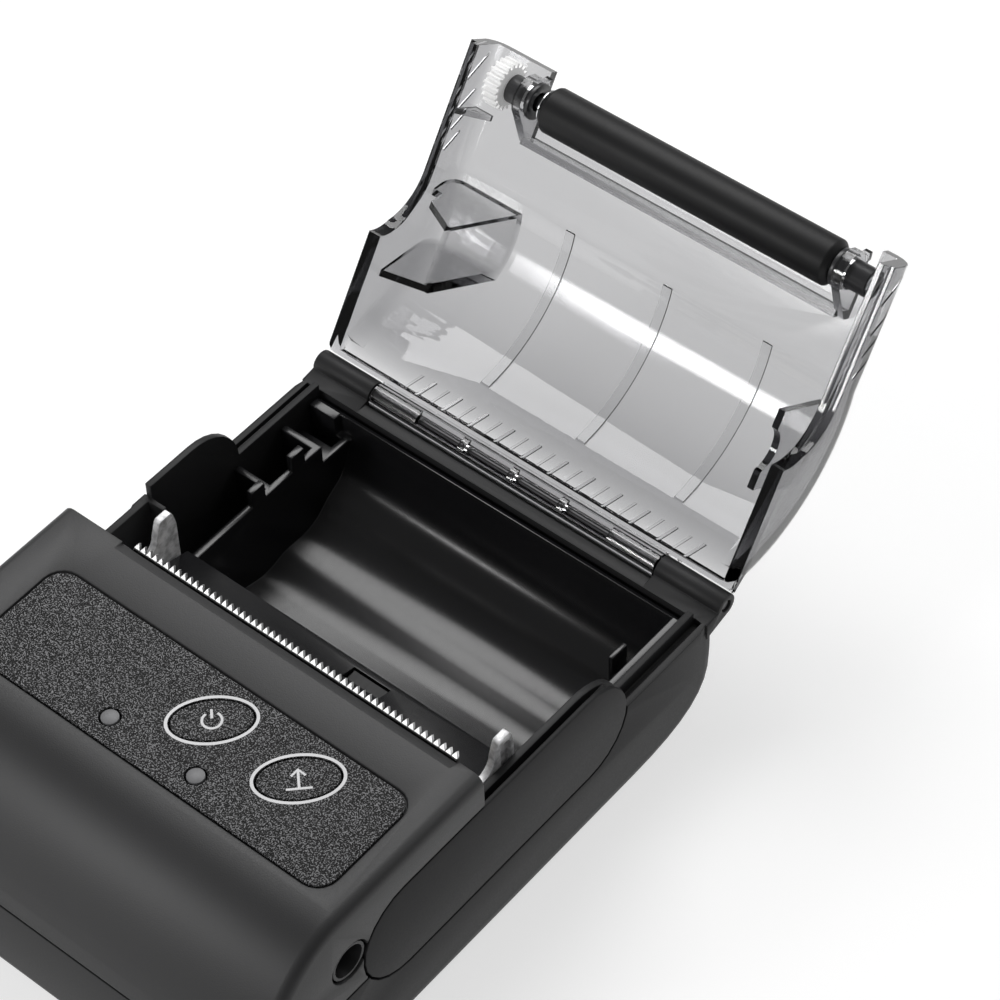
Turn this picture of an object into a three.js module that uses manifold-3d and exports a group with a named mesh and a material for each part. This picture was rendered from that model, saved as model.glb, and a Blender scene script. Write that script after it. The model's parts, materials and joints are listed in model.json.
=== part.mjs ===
// Portable receipt printer with a clear flip-up paper cover, shown with the cover open.
// Millimetres, +Z up, +Y towards the cover hinge, origin in the middle of the flat underside.
import * as THREE from 'three';
import { mergeVertices } from 'three/addons/utils/BufferGeometryUtils.js';
import Module from 'manifold-3d';

const wasm = await Module();
wasm.setup();

// Driving dimensions of the body
const bodyWidth = 76;
const bodyHeight = 35.7;
const wall = 2;
const gap = 0.3;
const overrun = 1;
const coverOpenDegrees = 124;

// Hinge of the paper cover
const knuckleRadius = 1.9;
const pinRadius = 0.7;
const leftKnuckleLength = 10.8;
const rightKnuckleLength = 11.6;

// Lower case
const splitBelowHinge = 2.9;
const rimBelowHinge = 0.3;
const lipAboveHinge = 0.8;
const bottomEdgeRadius = 3.6;
const cornerRadius = 5;
const rearFaceInset = 3.2;
const rearTopInset = 4.3;
const rearCurveReach = 19.3;
const rearCurveBelowHinge = 7.3;
const rearStepBelowHinge = 3.1;
const sideThickness = 3.5;
const lipThickness = 1.1;
const grooveWidth = 1.3;
const grooveDepth = 1.2;

// Oval side panels and the raised inner walls beside them
const panelRadius = 8.35;
const panelAboveHinge = 0.65;
const panelFrontToTear = 17.2;
const panelRearToHinge = 30.85;
const panelSkin = 0.8;
const panelLedgeRise = 5.65;
const fingerCatchRise = 3.25;
const earRise = 6.65;
const leftEarRise = 9.05;
const leftEarFront = 8.9;
const leftPostFront = 4;
const leftPostOut = 1.4;
const leftPostChamfer = 0.8;
const earReach = 8.9;

// Front cover, its nose and the line of the tear bar
const tearLine = 47.4;
const tearToRoller = 3.1;
const noseStart = 18;
const noseShoulder = 11;
const noseBelly = 4;
const noseBellyDrop = 7.2;
const topEdgeRadius = 1.8;
const lipBevelRun = 1.7;
const lipBevelDrop = 0.5;
const edgeToTear = 0.8;
const bevelLeftInset = 11.2;
const bevelRightInset = 4.3;

// Tear bar
const tearLeftInset = 12.8;
const tearRightInset = 4.88;
const tearPitch = 1.08;
const toothLength = 0.95;
const bladeLength = 2.9;
const bladeThickness = 0.5;
const bladeLeanDegrees = 53;
const bladeFlange = 4.6;

// Control label, its two keys and two lamp windows
const labelLeftInset = 7.4;
const labelRightInset = 4.6;
const labelFrontInset = 19.65;
const labelToTear = 9.35;
const labelCorner = 3;
const labelRecess = 0.5;
const labelThickness = 0.4;
const keyLong = 5.6;
const keyShort = 3.3;
const keyTurnDegrees = 45;
const keyTravel = 0.5;
const keyFlange = 1;
const keyFlangeThickness = 1;
const keyStemRadius = 1.6;
const keysToTear = 16;
const powerKeyInset = 29.65;
const feedKeyInset = 14.3;
const lampRadius = 1.3;
const lampsToTear = 24;
const powerLampInset = 40.7;
const statusLampInset = 25.2;

// Clear cover, in its own frame: reach from the hinge axis and height above it
const coverPastRoller = 3.6;
const coverTop = 15.4;
const coverWall = 1.6;
const coverEdgeRadius = 3;
const coverLipInset = 1;
const coverSide = 2.1;
const coverSkinRise = 0.3;
const tabLeftWidth = 12.1;
const tabRightWidth = 4.6;
const slotBeforeRoller = 1.6;
const barrelSlots = 4;
const slotWeb = 1.2;
const barrelEnd = 8;

// Dome of the clear cover over the paper roll: outer and inner arcs from the hinge to the front plate
const domeReach = 25.5;
const domeDrop = 9.6;
const domeOverPlate = 1;
const domeFoot = 2.2;
const domeInnerReach = 26;
const domeInnerDrop = 7.8;
const domeInnerOverPlate = 0.9;
const domeInnerFoot = 5.4;

// Feed roller
const rollerReach = 48.6;
const rollerRise = 9.5;
const rubberRadius = 3.6;
const rubberLeftInset = 16.2;
const rubberRightInset = 8.2;
const rubberChamfer = 0.8;
const shaftRadius = 1.5;
const journalRadius = 1.2;
const bushRadius = 2.2;
const bushFlangeRadius = 2.9;
const bushFlangeThickness = 0.7;
const bracketThickness = 1.5;
const bracketLeftInset = 13.3;
const bracketRightInset = 7;
const bracketRadius = 3.4;
const bracketFoot = 7.4;
const bracketFootThickness = 1.5;
const ledgeHeight = 3.7;
const ledgeThickness = 1.1;

// Paper guides under the cover
const guideNear = 16;
const guideFar = 28.5;
const guideDepth = 2.6;
const guideThickness = 1.1;
const leftGuideInset = 10;
const leftGuideRun = 7.1;
const leftGuideLow = 5.5;
const leftGuideLean = 0.5;
const rightGuideInset = 4.1;
const guideCutRadius = 3.6;
const ribWallNear = 3.6;
const ribWallFar = 9.2;

// Gear train
const gearModule = 0.35;
const platenTeeth = 20;
const idlerTeeth = 24;
const wheelTeeth = 28;
const pinionTeeth = 12;
const gearWidth = 1.2;
const platenGearWidth = 2.6;
const meshSlack = 0.12;
const idlerBelow = 5.45;
const gearPostRadius = 0.6;

// Print mechanism
const forkThickness = 1.2;
const forkTop = 2.7;
const forkArm = 4;
const forkFrontArm = 3.4;
const forkFlare = 0.8;
const frameThickness = 1.2;
const frameFront = 11.2;
const frameRear = 7.5;
const frameBelowRoller = 15.8;
const frameFrontRise = 1.6;
const frameRearDrop = 6.9;
const chuteReach = 2.6;
const chuteDrop = 3.9;
const chuteThickness = 0.8;
const headThickness = 1;
const headBelow = 4.6;
const headAbove = 2.8;
const sinkThickness = 2;
const springThickness = 0.4;
const cableWidth = 12;
const cableInset = 3.8;
const motorRadius = 4.4;
const motorLength = 15;
const motorBehind = 2.9;
const motorBelow = 9.6;
const motorShaftRadius = 0.6;

// Paper bin
const binToHinge = 4.6;
const binWall = 1.3;
const binSlack = 0.4;
const binBelowRim = 0.5;
const fluteHeight = 0.9;
const fluteShares = [0.3, 0.5, 0.72];
const fluteWidthShare = 0.085;
const stepRise = 3;
const partitionInset = 11;
const partitionThickness = 1.2;
const bayRibThickness = 1.2;
const bayPlatformDrop = 3.5;
const bayPlatformRear = 9.3;
const bayPlatformWidth = 6;
const tabWidth = 3.4;
const tabThickness = 0.8;
const tabInset = 1.8;

// Electronics and battery
const boardBelowTop = 11.7;
const boardThickness = 1.6;
const boardSideInset = 10.5;
const boardFrontInset = 9.5;
const boardToTear = 9.3;
const jackInset = 19.15;
const jackBelowTop = 10.8;
const jackHoleRadius = 3.45;
const jackBarrelRadius = 3.1;
const jackBore = 2.6;
const jackPin = 0.65;
const jackBody = 8.6;
const jackBodyLength = 7;
const jackDepth = 7.5;
const switchSide = 6;
const switchHeight = 3.8;
const plungerRadius = 1.5;
const plungerHeight = 0.7;
const batteryLeftInset = 14;
const batteryRightInset = 10;
const batteryFrontInset = 3.5;
const batteryToTear = 13.3;
const batteryBelowBoard = 4.6;
const batteryCorner = 3;
const doorThickness = 1.6;
const doorMargin = 2;
const screwInset = 7;
const screwFrontInset = 6.2;
const screwToTear = 16.5;
const screwRadius = 1.1;
const screwHeadRadius = 2.1;
const screwHeadHeight = 1.4;
const screwHeadInset = 0.6;
const screwLength = 11;
const bossRadius = 2.5;
const bossHeight = 9;

// Places that follow from the sizes above
const half = bodyWidth / 2;
const bodyLength = tearLine + tearToRoller + rollerReach + knuckleRadius;
const frontY = -bodyLength / 2;
const hingeY = bodyLength / 2 - knuckleRadius;
const hingeZ = bodyHeight - coverTop;
const rollerY = hingeY - rollerReach;
const rollerZ = hingeZ + rollerRise;
const tearY = frontY + tearLine;
const coverEdgeY = tearY - edgeToTear;
const splitHeight = hingeZ - splitBelowHinge;
const rimHeight = hingeZ - rimBelowHinge;
const lipHeight = hingeZ + lipAboveHinge;
const rearCurveHeight = hingeZ - rearCurveBelowHinge;
const rearStepHeight = hingeZ - rearStepBelowHinge;
const panelFront = tearY - panelFrontToTear;
const panelRear = hingeY - panelRearToHinge;
const panelCentreHeight = hingeZ + panelAboveHinge;
const panelLedgeHeight = panelCentreHeight + panelLedgeRise;
const fingerCatchHeight = panelCentreHeight + fingerCatchRise;
const earHeight = panelCentreHeight + earRise;
const leftEarHeight = panelCentreHeight + leftEarRise;
const noseBellyHeight = bodyHeight - noseBellyDrop;
const innerHalf = half - sideThickness;
const lipOuter = innerHalf + lipThickness;
const coverInner = lipOuter + gap;
const coverLipOuter = coverInner + coverLipInset;
const coverReach = rollerReach + coverPastRoller;
const slotReach = rollerReach - slotBeforeRoller;
const tabLeft = half - tabLeftWidth;
const tabRight = half - tabRightWidth;
const bevelLeft = half - bevelLeftInset;
const bevelRight = half - bevelRightInset;
const tearLeft = half - tearLeftInset;
const tearTeeth = Math.round((bodyWidth - tearLeftInset - tearRightInset) / tearPitch);
const labelLeft = half - labelLeftInset;
const labelRight = half - labelRightInset;
const labelFront = frontY + labelFrontInset;
const labelRear = tearY - labelToTear;
const keyRow = tearY - keysToTear;
const lampRow = tearY - lampsToTear;
const powerKeyX = labelRight - powerKeyInset;
const feedKeyX = labelRight - feedKeyInset;
const powerLampX = labelRight - powerLampInset;
const statusLampX = labelRight - statusLampInset;
const rubberLeft = half - rubberLeftInset;
const rubberRight = half - rubberRightInset;
const bracketLeft = half - bracketLeftInset;
const bracketRight = half - bracketRightInset;
const leftGuideX = half - leftGuideInset;
const rightGuideX = half - rightGuideInset;
const frameBottom = rollerZ - frameBelowRoller;
const frameFrontTop = rollerZ + frameFrontRise;
const frameRearTop = rollerZ - frameRearDrop;
const binFront = rollerY + frameRear + binSlack;
const binRearTop = hingeY - binToHinge;
const binTop = rimHeight - binBelowRim;
const partitionX = half - partitionInset;
const bayPlatformHeight = binTop - bayPlatformDrop;
const boardHeight = bodyHeight - boardBelowTop;
const boardHalf = half - boardSideInset;
const boardFront = frontY + boardFrontInset;
const boardRear = tearY - boardToTear;
const jackRow = frontY + jackInset;
const jackHeight = bodyHeight - jackBelowTop;
const batteryLeft = half - batteryLeftInset;
const batteryRight = half - batteryRightInset;
const batteryFront = frontY + batteryFrontInset;
const batteryRear = tearY - batteryToTear;
const batteryTop = boardHeight - batteryBelowBoard;
const screwRow = half - screwInset;
const screwFrontY = frontY + screwFrontInset;
const screwRearY = tearY - screwToTear;
const turn = Math.PI * 2;
const quarter = Math.PI / 2;

// Materials
const paint = (color, roughness, metalness = 0) => new THREE.MeshStandardMaterial({ color, roughness, metalness });
const blackPlastic = paint(0x2c2c2d, 0.62);
const glossBlack = paint(0x151516, 0.22);
const labelFilm = paint(0x2a2a2b, 0.8);
const clearSmoke = new THREE.MeshStandardMaterial({ color: 0x8c8c90, roughness: 0.12, transparent: true, opacity: 0.45 });
const blackRubber = paint(0x1d1d1e, 0.75);
const bushPlastic = paint(0x3a3a3c, 0.4);
const whitePlastic = paint(0xf2f2f0, 0.45);
const brightSteel = paint(0xd6d8da, 0.25, 1);
const dullSteel = paint(0x9a9da0, 0.4, 1);
const aluminium = paint(0xb6b9bc, 0.38, 1);
const boardGreen = paint(0x1f5a3a, 0.5);
const ceramic = paint(0xd9d2c4, 0.35);
const lampGrey = paint(0x77777a, 0.4);
const packBlue = paint(0x2b4a86, 0.5);
const cableOrange = paint(0xb5702c, 0.45);
const chipBlack = paint(0x18181a, 0.5);

// Turns a three.js geometry into a solid
function solid(geometry) {
  const bare = geometry.index ? geometry.clone() : geometry;
  bare.deleteAttribute('normal');
  bare.deleteAttribute('uv');
  const merged = mergeVertices(bare, 1e-5);
  return new wasm.Manifold(new wasm.Mesh({
    numProp: 3,
    vertProperties: new Float32Array(merged.attributes.position.array),
    triVerts: new Uint32Array(merged.index.array),
  }));
}

// Turns a solid back into a three.js geometry
function surface(body) {
  const mesh = body.getMesh();
  const geometry = new THREE.BufferGeometry();
  geometry.setAttribute('position', new THREE.BufferAttribute(new Float32Array(mesh.vertProperties), 3));
  geometry.setIndex(new THREE.BufferAttribute(new Uint32Array(mesh.triVerts), 1));
  geometry.computeVertexNormals();
  return geometry;
}

const join = (first, ...others) => others.reduce((body, other) => body.add(other), first);
const cut = (first, ...others) => others.reduce((body, other) => body.subtract(other), first);

// Outlines
function outline(points, holes = []) {
  const shape = new THREE.Shape(points.map(([a, b]) => new THREE.Vector2(a, b)));
  holes.forEach((hole) => shape.holes.push(new THREE.Path(hole.map(([a, b]) => new THREE.Vector2(a, b)))));
  return shape;
}

function arc(centreA, centreB, radiusA, radiusB, from, to, steps) {
  const points = [];
  for (let i = 0; i <= steps; i += 1) {
    const angle = from + ((to - from) * i) / steps;
    points.push([centreA + radiusA * Math.cos(angle), centreB + radiusB * Math.sin(angle)]);
  }
  return points;
}

const circle = (a, b, radius, steps = 20) => arc(a, b, radius, radius, 0, turn, steps).slice(0, -1);
const rectangle = (a0, a1, b0, b1) => [[a0, b0], [a1, b0], [a1, b1], [a0, b1]];

function roundedRectangle(a0, a1, b0, b1, radius, steps = 5) {
  return [
    ...arc(a1 - radius, b0 + radius, radius, radius, -quarter, 0, steps),
    ...arc(a1 - radius, b1 - radius, radius, radius, 0, quarter, steps),
    ...arc(a0 + radius, b1 - radius, radius, radius, quarter, 2 * quarter, steps),
    ...arc(a0 + radius, b0 + radius, radius, radius, 2 * quarter, 3 * quarter, steps),
  ];
}

function bezier(p0, p1, p2, p3, steps) {
  const curve = new THREE.CubicBezierCurve(...[p0, p1, p2, p3].map(([a, b]) => new THREE.Vector2(a, b)));
  return curve.getPoints(steps).map((p) => [p.x, p.y]);
}

const oval = (a, b, long, short, angle, steps = 28) => circle(0, 0, 1, steps).map(([c, s]) => [
  a + c * long * Math.cos(angle) - s * short * Math.sin(angle),
  b + c * long * Math.sin(angle) + s * short * Math.cos(angle),
]);

// Extrusions: the outline's two axes are Y and Z, or X and Y
const axisX = new THREE.Vector3(1, 0, 0);
const axisY = new THREE.Vector3(0, 1, 0);
const axisZ = new THREE.Vector3(0, 0, 1);
const extrude = (shape, depth) => new THREE.ExtrudeGeometry(shape, { depth, bevelEnabled: false });

function alongX(points, x0, x1, holes) {
  const geometry = extrude(outline(points, holes), x1 - x0);
  geometry.applyMatrix4(new THREE.Matrix4().makeBasis(axisY, axisZ, axisX));
  return solid(geometry.translate(x0, 0, 0));
}

const alongZ = (points, z0, z1, holes) => solid(extrude(outline(points, holes), z1 - z0).translate(0, 0, z0));
const block = (x0, x1, y0, y1, z0, z1) => alongZ(rectangle(x0, x1, y0, y1), z0, z1);
const rod = (y, z, radius, x0, x1, steps = 20) => alongX(circle(y, z, radius, steps), x0, x1);
const post = (x, y, radius, z0, z1, steps = 16) => alongZ(circle(x, y, radius, steps), z0, z1);

// Joins rings of points, one beside the other along X, into a closed body
function loft(rings) {
  const count = rings[0].length;
  const positions = rings.flat(2);
  const index = [];
  for (let r = 0; r < rings.length - 1; r += 1) {
    for (let i = 0; i < count; i += 1) {
      const j = (i + 1) % count;
      const [a, b, c, d] = [r * count + i, r * count + j, (r + 1) * count + i, (r + 1) * count + j];
      index.push(a, b, c, b, d, c);
    }
  }
  const last = (rings.length - 1) * count;
  const face = (ring) => THREE.ShapeUtils.triangulateShape(ring.map(([, y, z]) => new THREE.Vector2(y, z)), []);
  face(rings[0]).forEach(([a, b, c]) => index.push(a, c, b));
  face(rings[rings.length - 1]).forEach(([a, b, c]) => index.push(last + a, last + b, last + c));
  const geometry = new THREE.BufferGeometry();
  geometry.setAttribute('position', new THREE.BufferAttribute(new Float32Array(positions), 3));
  geometry.setIndex(index);
  return solid(geometry);
}

// A body whose profile draws in by an edge radius at both sides
function roundedSides(profile, halfWidth, radius, steps = 4) {
  const stations = [];
  for (let i = 0; i <= steps; i += 1) {
    const angle = (quarter * i) / steps;
    stations.push([halfWidth - radius * (1 - Math.sin(angle)), radius * (1 - Math.cos(angle))]);
  }
  const left = stations.slice().reverse().map(([x, inset]) => [-x, inset]);
  return loft([...left, ...stations].map(([x, inset]) => profile(inset).map(([y, z]) => [x, y, z])));
}

// The oval of the side panels, grown by a margin
function stadium(margin) {
  const radius = panelRadius + margin;
  return [
    ...arc(panelRear, panelCentreHeight, radius, radius, -quarter, quarter, 12),
    ...arc(panelFront, panelCentreHeight, radius, radius, quarter, 3 * quarter, 12),
  ];
}

// Side profile of the lower case, drawn in by an inset
function caseProfile(inset) {
  const front = frontY + inset;
  const rear = -frontY - rearFaceInset - inset;
  const curveStart = -frontY - rearFaceInset - rearCurveReach;
  const corner = bottomEdgeRadius;
  return [
    [front, rimHeight],
    ...arc(front + corner, inset + corner, corner, corner, 2 * quarter, 3 * quarter, 4),
    ...bezier([curveStart, inset], [curveStart + rearCurveReach * 0.62, inset],
      [rear, rearCurveHeight * 0.3 + inset * 0.6], [rear, rearCurveHeight], 8),
    [rear, rearStepHeight],
    [-frontY - rearTopInset - inset, rearStepHeight + rearTopInset - rearFaceInset],
    [-frontY - rearTopInset - inset, rimHeight],
  ];
}

function planCorners(z0, z1) {
  return alongZ(roundedRectangle(-half, half, frontY, -frontY + overrun, cornerRadius), z0, z1);
}

// Raised inner wall beside the oval panel, with its lip running back to the hinge.
// The left one stands higher behind its post.
function innerWall(side) {
  const rise = side < 0 ? leftEarRise : earRise;
  const wallFront = coverEdgeY + gap;
  const lipEnd = -frontY - rearTopInset - wall;
  const step = side < 0 ? [[leftEarFront, leftEarHeight], [leftEarFront, earHeight]] : [];
  const points = [
    [wallFront, wall],
    [lipEnd, wall + rearCurveHeight / 2],
    [lipEnd, lipHeight],
    ...arc(panelRear, panelCentreHeight, earReach, rise,
      Math.asin((lipHeight - panelCentreHeight) / rise), quarter, 8),
    ...step,
    [wallFront, earHeight],
  ];
  return side < 0 ? alongX(points, -lipOuter, -innerHalf) : alongX(points, innerHalf, lipOuter);
}

// Stepped post outside the left ear and the short rib inside it
function leftPost() {
  const low = fingerCatchHeight + gap;
  const points = [
    [leftPostFront, low],
    [leftEarFront, low],
    [leftEarFront, earHeight],
    [leftPostFront + leftPostOut + leftPostChamfer, earHeight],
    [leftPostFront + leftPostOut, earHeight - leftPostChamfer],
    [leftPostFront, earHeight - leftPostChamfer],
  ];
  const rib = block(-innerHalf - lipThickness / 2, -innerHalf + leftPostOut * 2,
    leftEarFront - leftPostChamfer, leftEarFront, rimHeight, earHeight);
  return join(alongX(points, -lipOuter - leftPostOut, -innerHalf - lipThickness / 2), rib);
}

function knuckle(x0, x1) {
  const foot = -frontY - rearTopInset - wall;
  const arm = [
    [foot, rearStepHeight],
    [hingeY, hingeZ - knuckleRadius],
    [hingeY, hingeZ + knuckleRadius * 0.2],
    [foot, rimHeight],
  ];
  return join(alongX(arm, x0, x1), rod(hingeY, hingeZ, knuckleRadius, x0, x1));
}

function doorOpening(margin) {
  return rectangle(-batteryLeft - doorMargin - margin, batteryRight - margin / 2 + margin * 1.5,
    batteryFront + doorMargin / 2 - margin, batteryRear + margin);
}

function bottomCase() {
  const outer = roundedSides(caseProfile, half, bottomEdgeRadius).intersect(planCorners(-overrun, bodyHeight));
  const hollow = alongX([...caseProfile(wall).slice(1, -1),
    [-frontY - rearTopInset - wall, bodyHeight], [frontY + wall, bodyHeight]], -innerHalf, innerHalf);
  const grooveTop = rimHeight + overrun;
  const rearRim = -frontY - rearTopInset - wall;
  const parts = [cut(outer, hollow)];
  [-1, 1].forEach((side) => parts.push(innerWall(side)));
  parts.push(leftPost());
  parts.push(knuckle(-half, -half + leftKnuckleLength), knuckle(half - rightKnuckleLength, half));
  screwPlaces.forEach(([x, y]) => parts.push(post(x, y, bossRadius, wall / 2, bossHeight)));
  let body = join(...parts);
  [[-half - overrun, -lipOuter - gap], [lipOuter + gap, half + overrun]].forEach(([x0, x1]) => {
    body = cut(body, alongX(stadium(gap), x0, x1));
  });
  [[-lipOuter - grooveWidth, -lipOuter], [lipOuter, lipOuter + grooveWidth]].forEach(([x0, x1]) => {
    body = cut(body, block(x0, x1, panelRear, rearRim, rimHeight - grooveDepth, grooveTop));
  });
  const frontZone = [
    [frontY - overrun, splitHeight],
    [panelFront, splitHeight],
    [panelFront, rimHeight + overrun],
    [frontY - overrun, rimHeight + overrun],
  ];
  body = cut(body, alongX(frontZone, -half - overrun, half + overrun));
  body = cut(body, rod(hingeY, hingeZ, pinRadius + gap, -half - overrun, half + overrun, 16));
  body = cut(body, alongZ(doorOpening(gap), -overrun, wall + overrun));
  screwPlaces.forEach(([x, y]) => {
    body = cut(body, post(x, y, screwRadius + gap, -overrun, bossHeight + overrun, 16));
    body = cut(body, post(x, y, screwHeadRadius + gap, -overrun, screwHeadInset + screwHeadHeight + gap, 20));
  });
  return body;
}

const screwPlaces = [
  [-screwRow, screwFrontY],
  [screwRow, screwFrontY],
  [-screwRow, screwRearY],
  [screwRow, screwRearY],
];

// Side profile of the front cover, drawn in by an inset
function frontProfile(inset) {
  const top = bodyHeight - inset;
  const nose = frontY + inset;
  return [
    [nose, splitHeight + gap],
    [coverEdgeY, splitHeight + gap],
    [coverEdgeY, top],
    ...bezier([frontY + noseStart, top], [frontY + noseShoulder, top],
      [frontY + noseBelly + inset * 0.7, noseBellyHeight - inset * 0.7], [nose, splitHeight + gap], 12).slice(0, -1),
  ];
}

function labelOutline(margin) {
  return roundedRectangle(-labelLeft - margin, labelRight + margin, labelFront - margin,
    labelRear + margin, labelCorner + margin);
}

const keyOutline = (x, margin) => oval(x, keyRow, keyLong + margin, keyShort + margin,
  THREE.MathUtils.degToRad(keyTurnDegrees));

function frontCover() {
  const outer = roundedSides(frontProfile, half, topEdgeRadius).intersect(planCorners(0, bodyHeight + overrun));
  const inside = frontProfile(wall).map(([y, z]) => [
    y === coverEdgeY ? y + overrun : y,
    z === splitHeight + gap ? z - overrun : z,
  ]);
  let body = cut(outer, alongX(inside, -half + wall, half - wall));
  [[-half - overrun, -half + wall + overrun], [half - wall - overrun, half + overrun]].forEach(([x0, x1]) => {
    body = cut(body, alongX(stadium(gap), x0, x1));
    body = cut(body, block(x0, x1, panelFront, coverEdgeY + overrun, 0, panelCentreHeight + panelRadius + gap));
  });
  const bevel = [
    [coverEdgeY - lipBevelRun, bodyHeight],
    [coverEdgeY - lipBevelRun, bodyHeight + overrun],
    [coverEdgeY + overrun, bodyHeight + overrun],
    [coverEdgeY + overrun, bodyHeight - lipBevelDrop],
    [coverEdgeY, bodyHeight - lipBevelDrop],
  ];
  body = cut(body, alongX(bevel, -bevelLeft, bevelRight));
  body = cut(body, alongX(bladeSlot(gap), -tearLeft - gap, bladeWidth - tearLeft + gap));
  body = cut(body, alongZ(labelOutline(gap), bodyHeight - labelRecess, bodyHeight + overrun));
  [powerKeyX, feedKeyX].forEach((x) => {
    body = cut(body, alongZ(keyOutline(x, gap), 0, bodyHeight + overrun));
  });
  [powerLampX, statusLampX].forEach((x) => {
    body = cut(body, post(x, lampRow, lampRadius + gap, 0, bodyHeight + overrun, 16));
  });
  body = cut(body, rod(jackRow, jackHeight, jackHoleRadius, 0, half + overrun));
  screwPlaces.forEach(([x, y]) => {
    const boss = cut(post(x, y, bossRadius, bossHeight + gap, bodyHeight), post(x, y, screwRadius + gap, 0,
      screwHeadInset + screwLength + gap, 16));
    const under = alongX(frontProfile(wall / 2), -half + wall / 2, half - wall / 2);
    const reach = block(-half, half, frontY, coverEdgeY, 0, splitHeight + gap + overrun);
    body = join(body, boss.intersect(join(under, reach)));
  });
  return body;
}

// Line of the blade in the side view: its foot, the way it leans and the way it is thick
const bladeLean = THREE.MathUtils.degToRad(bladeLeanDegrees);
const bladeFootY = tearY + tearPitch / 2 - bladeLength * Math.cos(bladeLean);
const bladeFootZ = bodyHeight - bladeLength * Math.sin(bladeLean);
const bladeWidth = tearTeeth * tearPitch;

function bladeSlot(margin) {
  const [c, s] = [Math.cos(bladeLean), Math.sin(bladeLean)];
  const place = (along, across) => [bladeFootY + along * c - across * s, bladeFootZ + along * s + across * c];
  const [low, high] = [-bladeThickness * 2 - margin, bladeLength + margin];
  return [place(low, -margin), place(high, -margin), place(high, bladeThickness + margin),
    place(low, bladeThickness + margin)];
}

// Serrated steel blade on a flange under the front cover's edge
function tearBar() {
  const root = bladeLength - toothLength;
  const points = [[0, -bladeThickness * 2], [bladeWidth, -bladeThickness * 2]];
  for (let i = tearTeeth; i > 0; i -= 1) {
    points.push([i * tearPitch, root], [(i - 0.5) * tearPitch, bladeLength]);
  }
  points.push([0, root]);
  const blade = extrude(outline(points), bladeThickness);
  const up = new THREE.Vector3(0, Math.cos(bladeLean), Math.sin(bladeLean));
  blade.applyMatrix4(new THREE.Matrix4().makeBasis(axisX, up, axisX.clone().cross(up)));
  blade.translate(-tearLeft, bladeFootY, bladeFootZ);
  const top = bodyHeight - wall - gap;
  const flange = block(-tearLeft, bladeWidth - tearLeft, bladeFootY - bladeFlange, bladeFootY - bladeThickness / 2,
    top - bladeThickness, top);
  return join(solid(blade), flange);
}

// Arc of the dome from a foot above the hinge to the front plate
function domeArc(inset, reach, drop, overPlate, foot) {
  const plate = coverTop - inset;
  const radius = plate + overPlate + drop;
  return arc(-reach, -drop, radius, radius, Math.asin((foot + drop) / radius),
    Math.PI - Math.asin((plate + drop) / radius), 18);
}

// Clear cover: reach runs from the hinge axis towards the front, rise is away from the body
function coverProfile(inset) {
  const radius = knuckleRadius - inset / 3;
  return [
    [-coverReach, coverSkinRise],
    ...arc(0, 0, radius, radius, Math.PI * 0.93, Math.PI * 0.5, 3)
      .map(([y, z]) => [y - inset * 0.8, Math.max(z, coverSkinRise)]),
    ...domeArc(inset, domeReach, domeDrop, domeOverPlate, domeFoot),
    [-coverReach, coverTop - inset],
  ];
}

// Hollow of the cover: a ledge slopes up from the hinge to the inner arc
function coverHollow() {
  const low = coverSkinRise - overrun * 2;
  return [
    [-coverReach - overrun, low],
    [-knuckleRadius * 1.5, low],
    [-knuckleRadius * 1.5, knuckleRadius * 0.85],
    ...domeArc(coverWall, domeInnerReach, domeInnerDrop, domeInnerOverPlate, domeInnerFoot),
    [-coverReach - overrun, coverTop - coverWall],
  ];
}

const underCover = (points) => points.map(([y, z]) => [y - hingeY, z - hingeZ]);

// The clear edge that passes round the oval panel: the skin stops above it, the lip dips behind it
function edgeCut(reachRadius, riseRadius, floor) {
  const rearEnd = knuckleRadius * 4;
  return underCover([
    [hingeY - coverReach - overrun, -bodyHeight],
    [hingeY + rearEnd, -bodyHeight],
    [hingeY + rearEnd, floor],
    [panelRear + reachRadius, floor],
    ...arc(panelRear, panelCentreHeight, reachRadius, riseRadius, 0, quarter, 10),
    [hingeY - coverReach - overrun, panelCentreHeight + riseRadius],
  ]);
}

// A plate whose outline is drawn across the body and which leans towards the front as it rises
function leaning(points, y0, y1) {
  const geometry = extrude(outline(points), y1 - y0);
  geometry.applyMatrix4(new THREE.Matrix4().makeBasis(axisX, axisZ, axisY.clone().negate()));
  geometry.translate(0, y1, -leftGuideLow);
  geometry.applyMatrix4(new THREE.Matrix4().makeShear(0, 0, 0, 0, 0, -leftGuideLean));
  return solid(geometry.translate(0, 0, leftGuideLow));
}

// Box on the left: a sloping plate tied to the side by two ribs, one notched for the ear
function leftGuide(base) {
  const foot = -leftGuideX;
  const head = foot + leftGuideRun;
  const side = -coverInner - coverSide / 2;
  const [near, far] = [guideNear - gap, guideFar - overrun * 2];
  const plate = [[foot, leftGuideLow], [head, base], [head - guideThickness, base],
    [foot - guideThickness, leftGuideLow]];
  const rib = (wallRise) => [[side, wallRise], [foot - guideThickness / 2, leftGuideLow],
    [head - guideThickness / 2, base], [side, base]];
  const nearRib = leaning(rib(ribWallNear), -near - guideThickness, -near);
  const farRib = leaning(rib(ribWallFar), -far, -far + guideThickness);
  const notch = block(-lipOuter - gap, -innerHalf + gap, -far * 2, -near, -bodyHeight,
    leftEarHeight - hingeZ + gap * 2);
  return join(leaning(plate, -far, -near), nearRib, farRib.subtract(notch));
}

function rightGuide(base) {
  const middle = (guideNear + guideFar) / 2;
  const plate = rectangle(-guideFar, -guideNear, guideDepth, base);
  return cut(alongX(plate, rightGuideX - guideThickness, rightGuideX),
    rod(-middle, guideDepth - guideCutRadius * 0.35, guideCutRadius, 0, half, 20));
}

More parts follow.
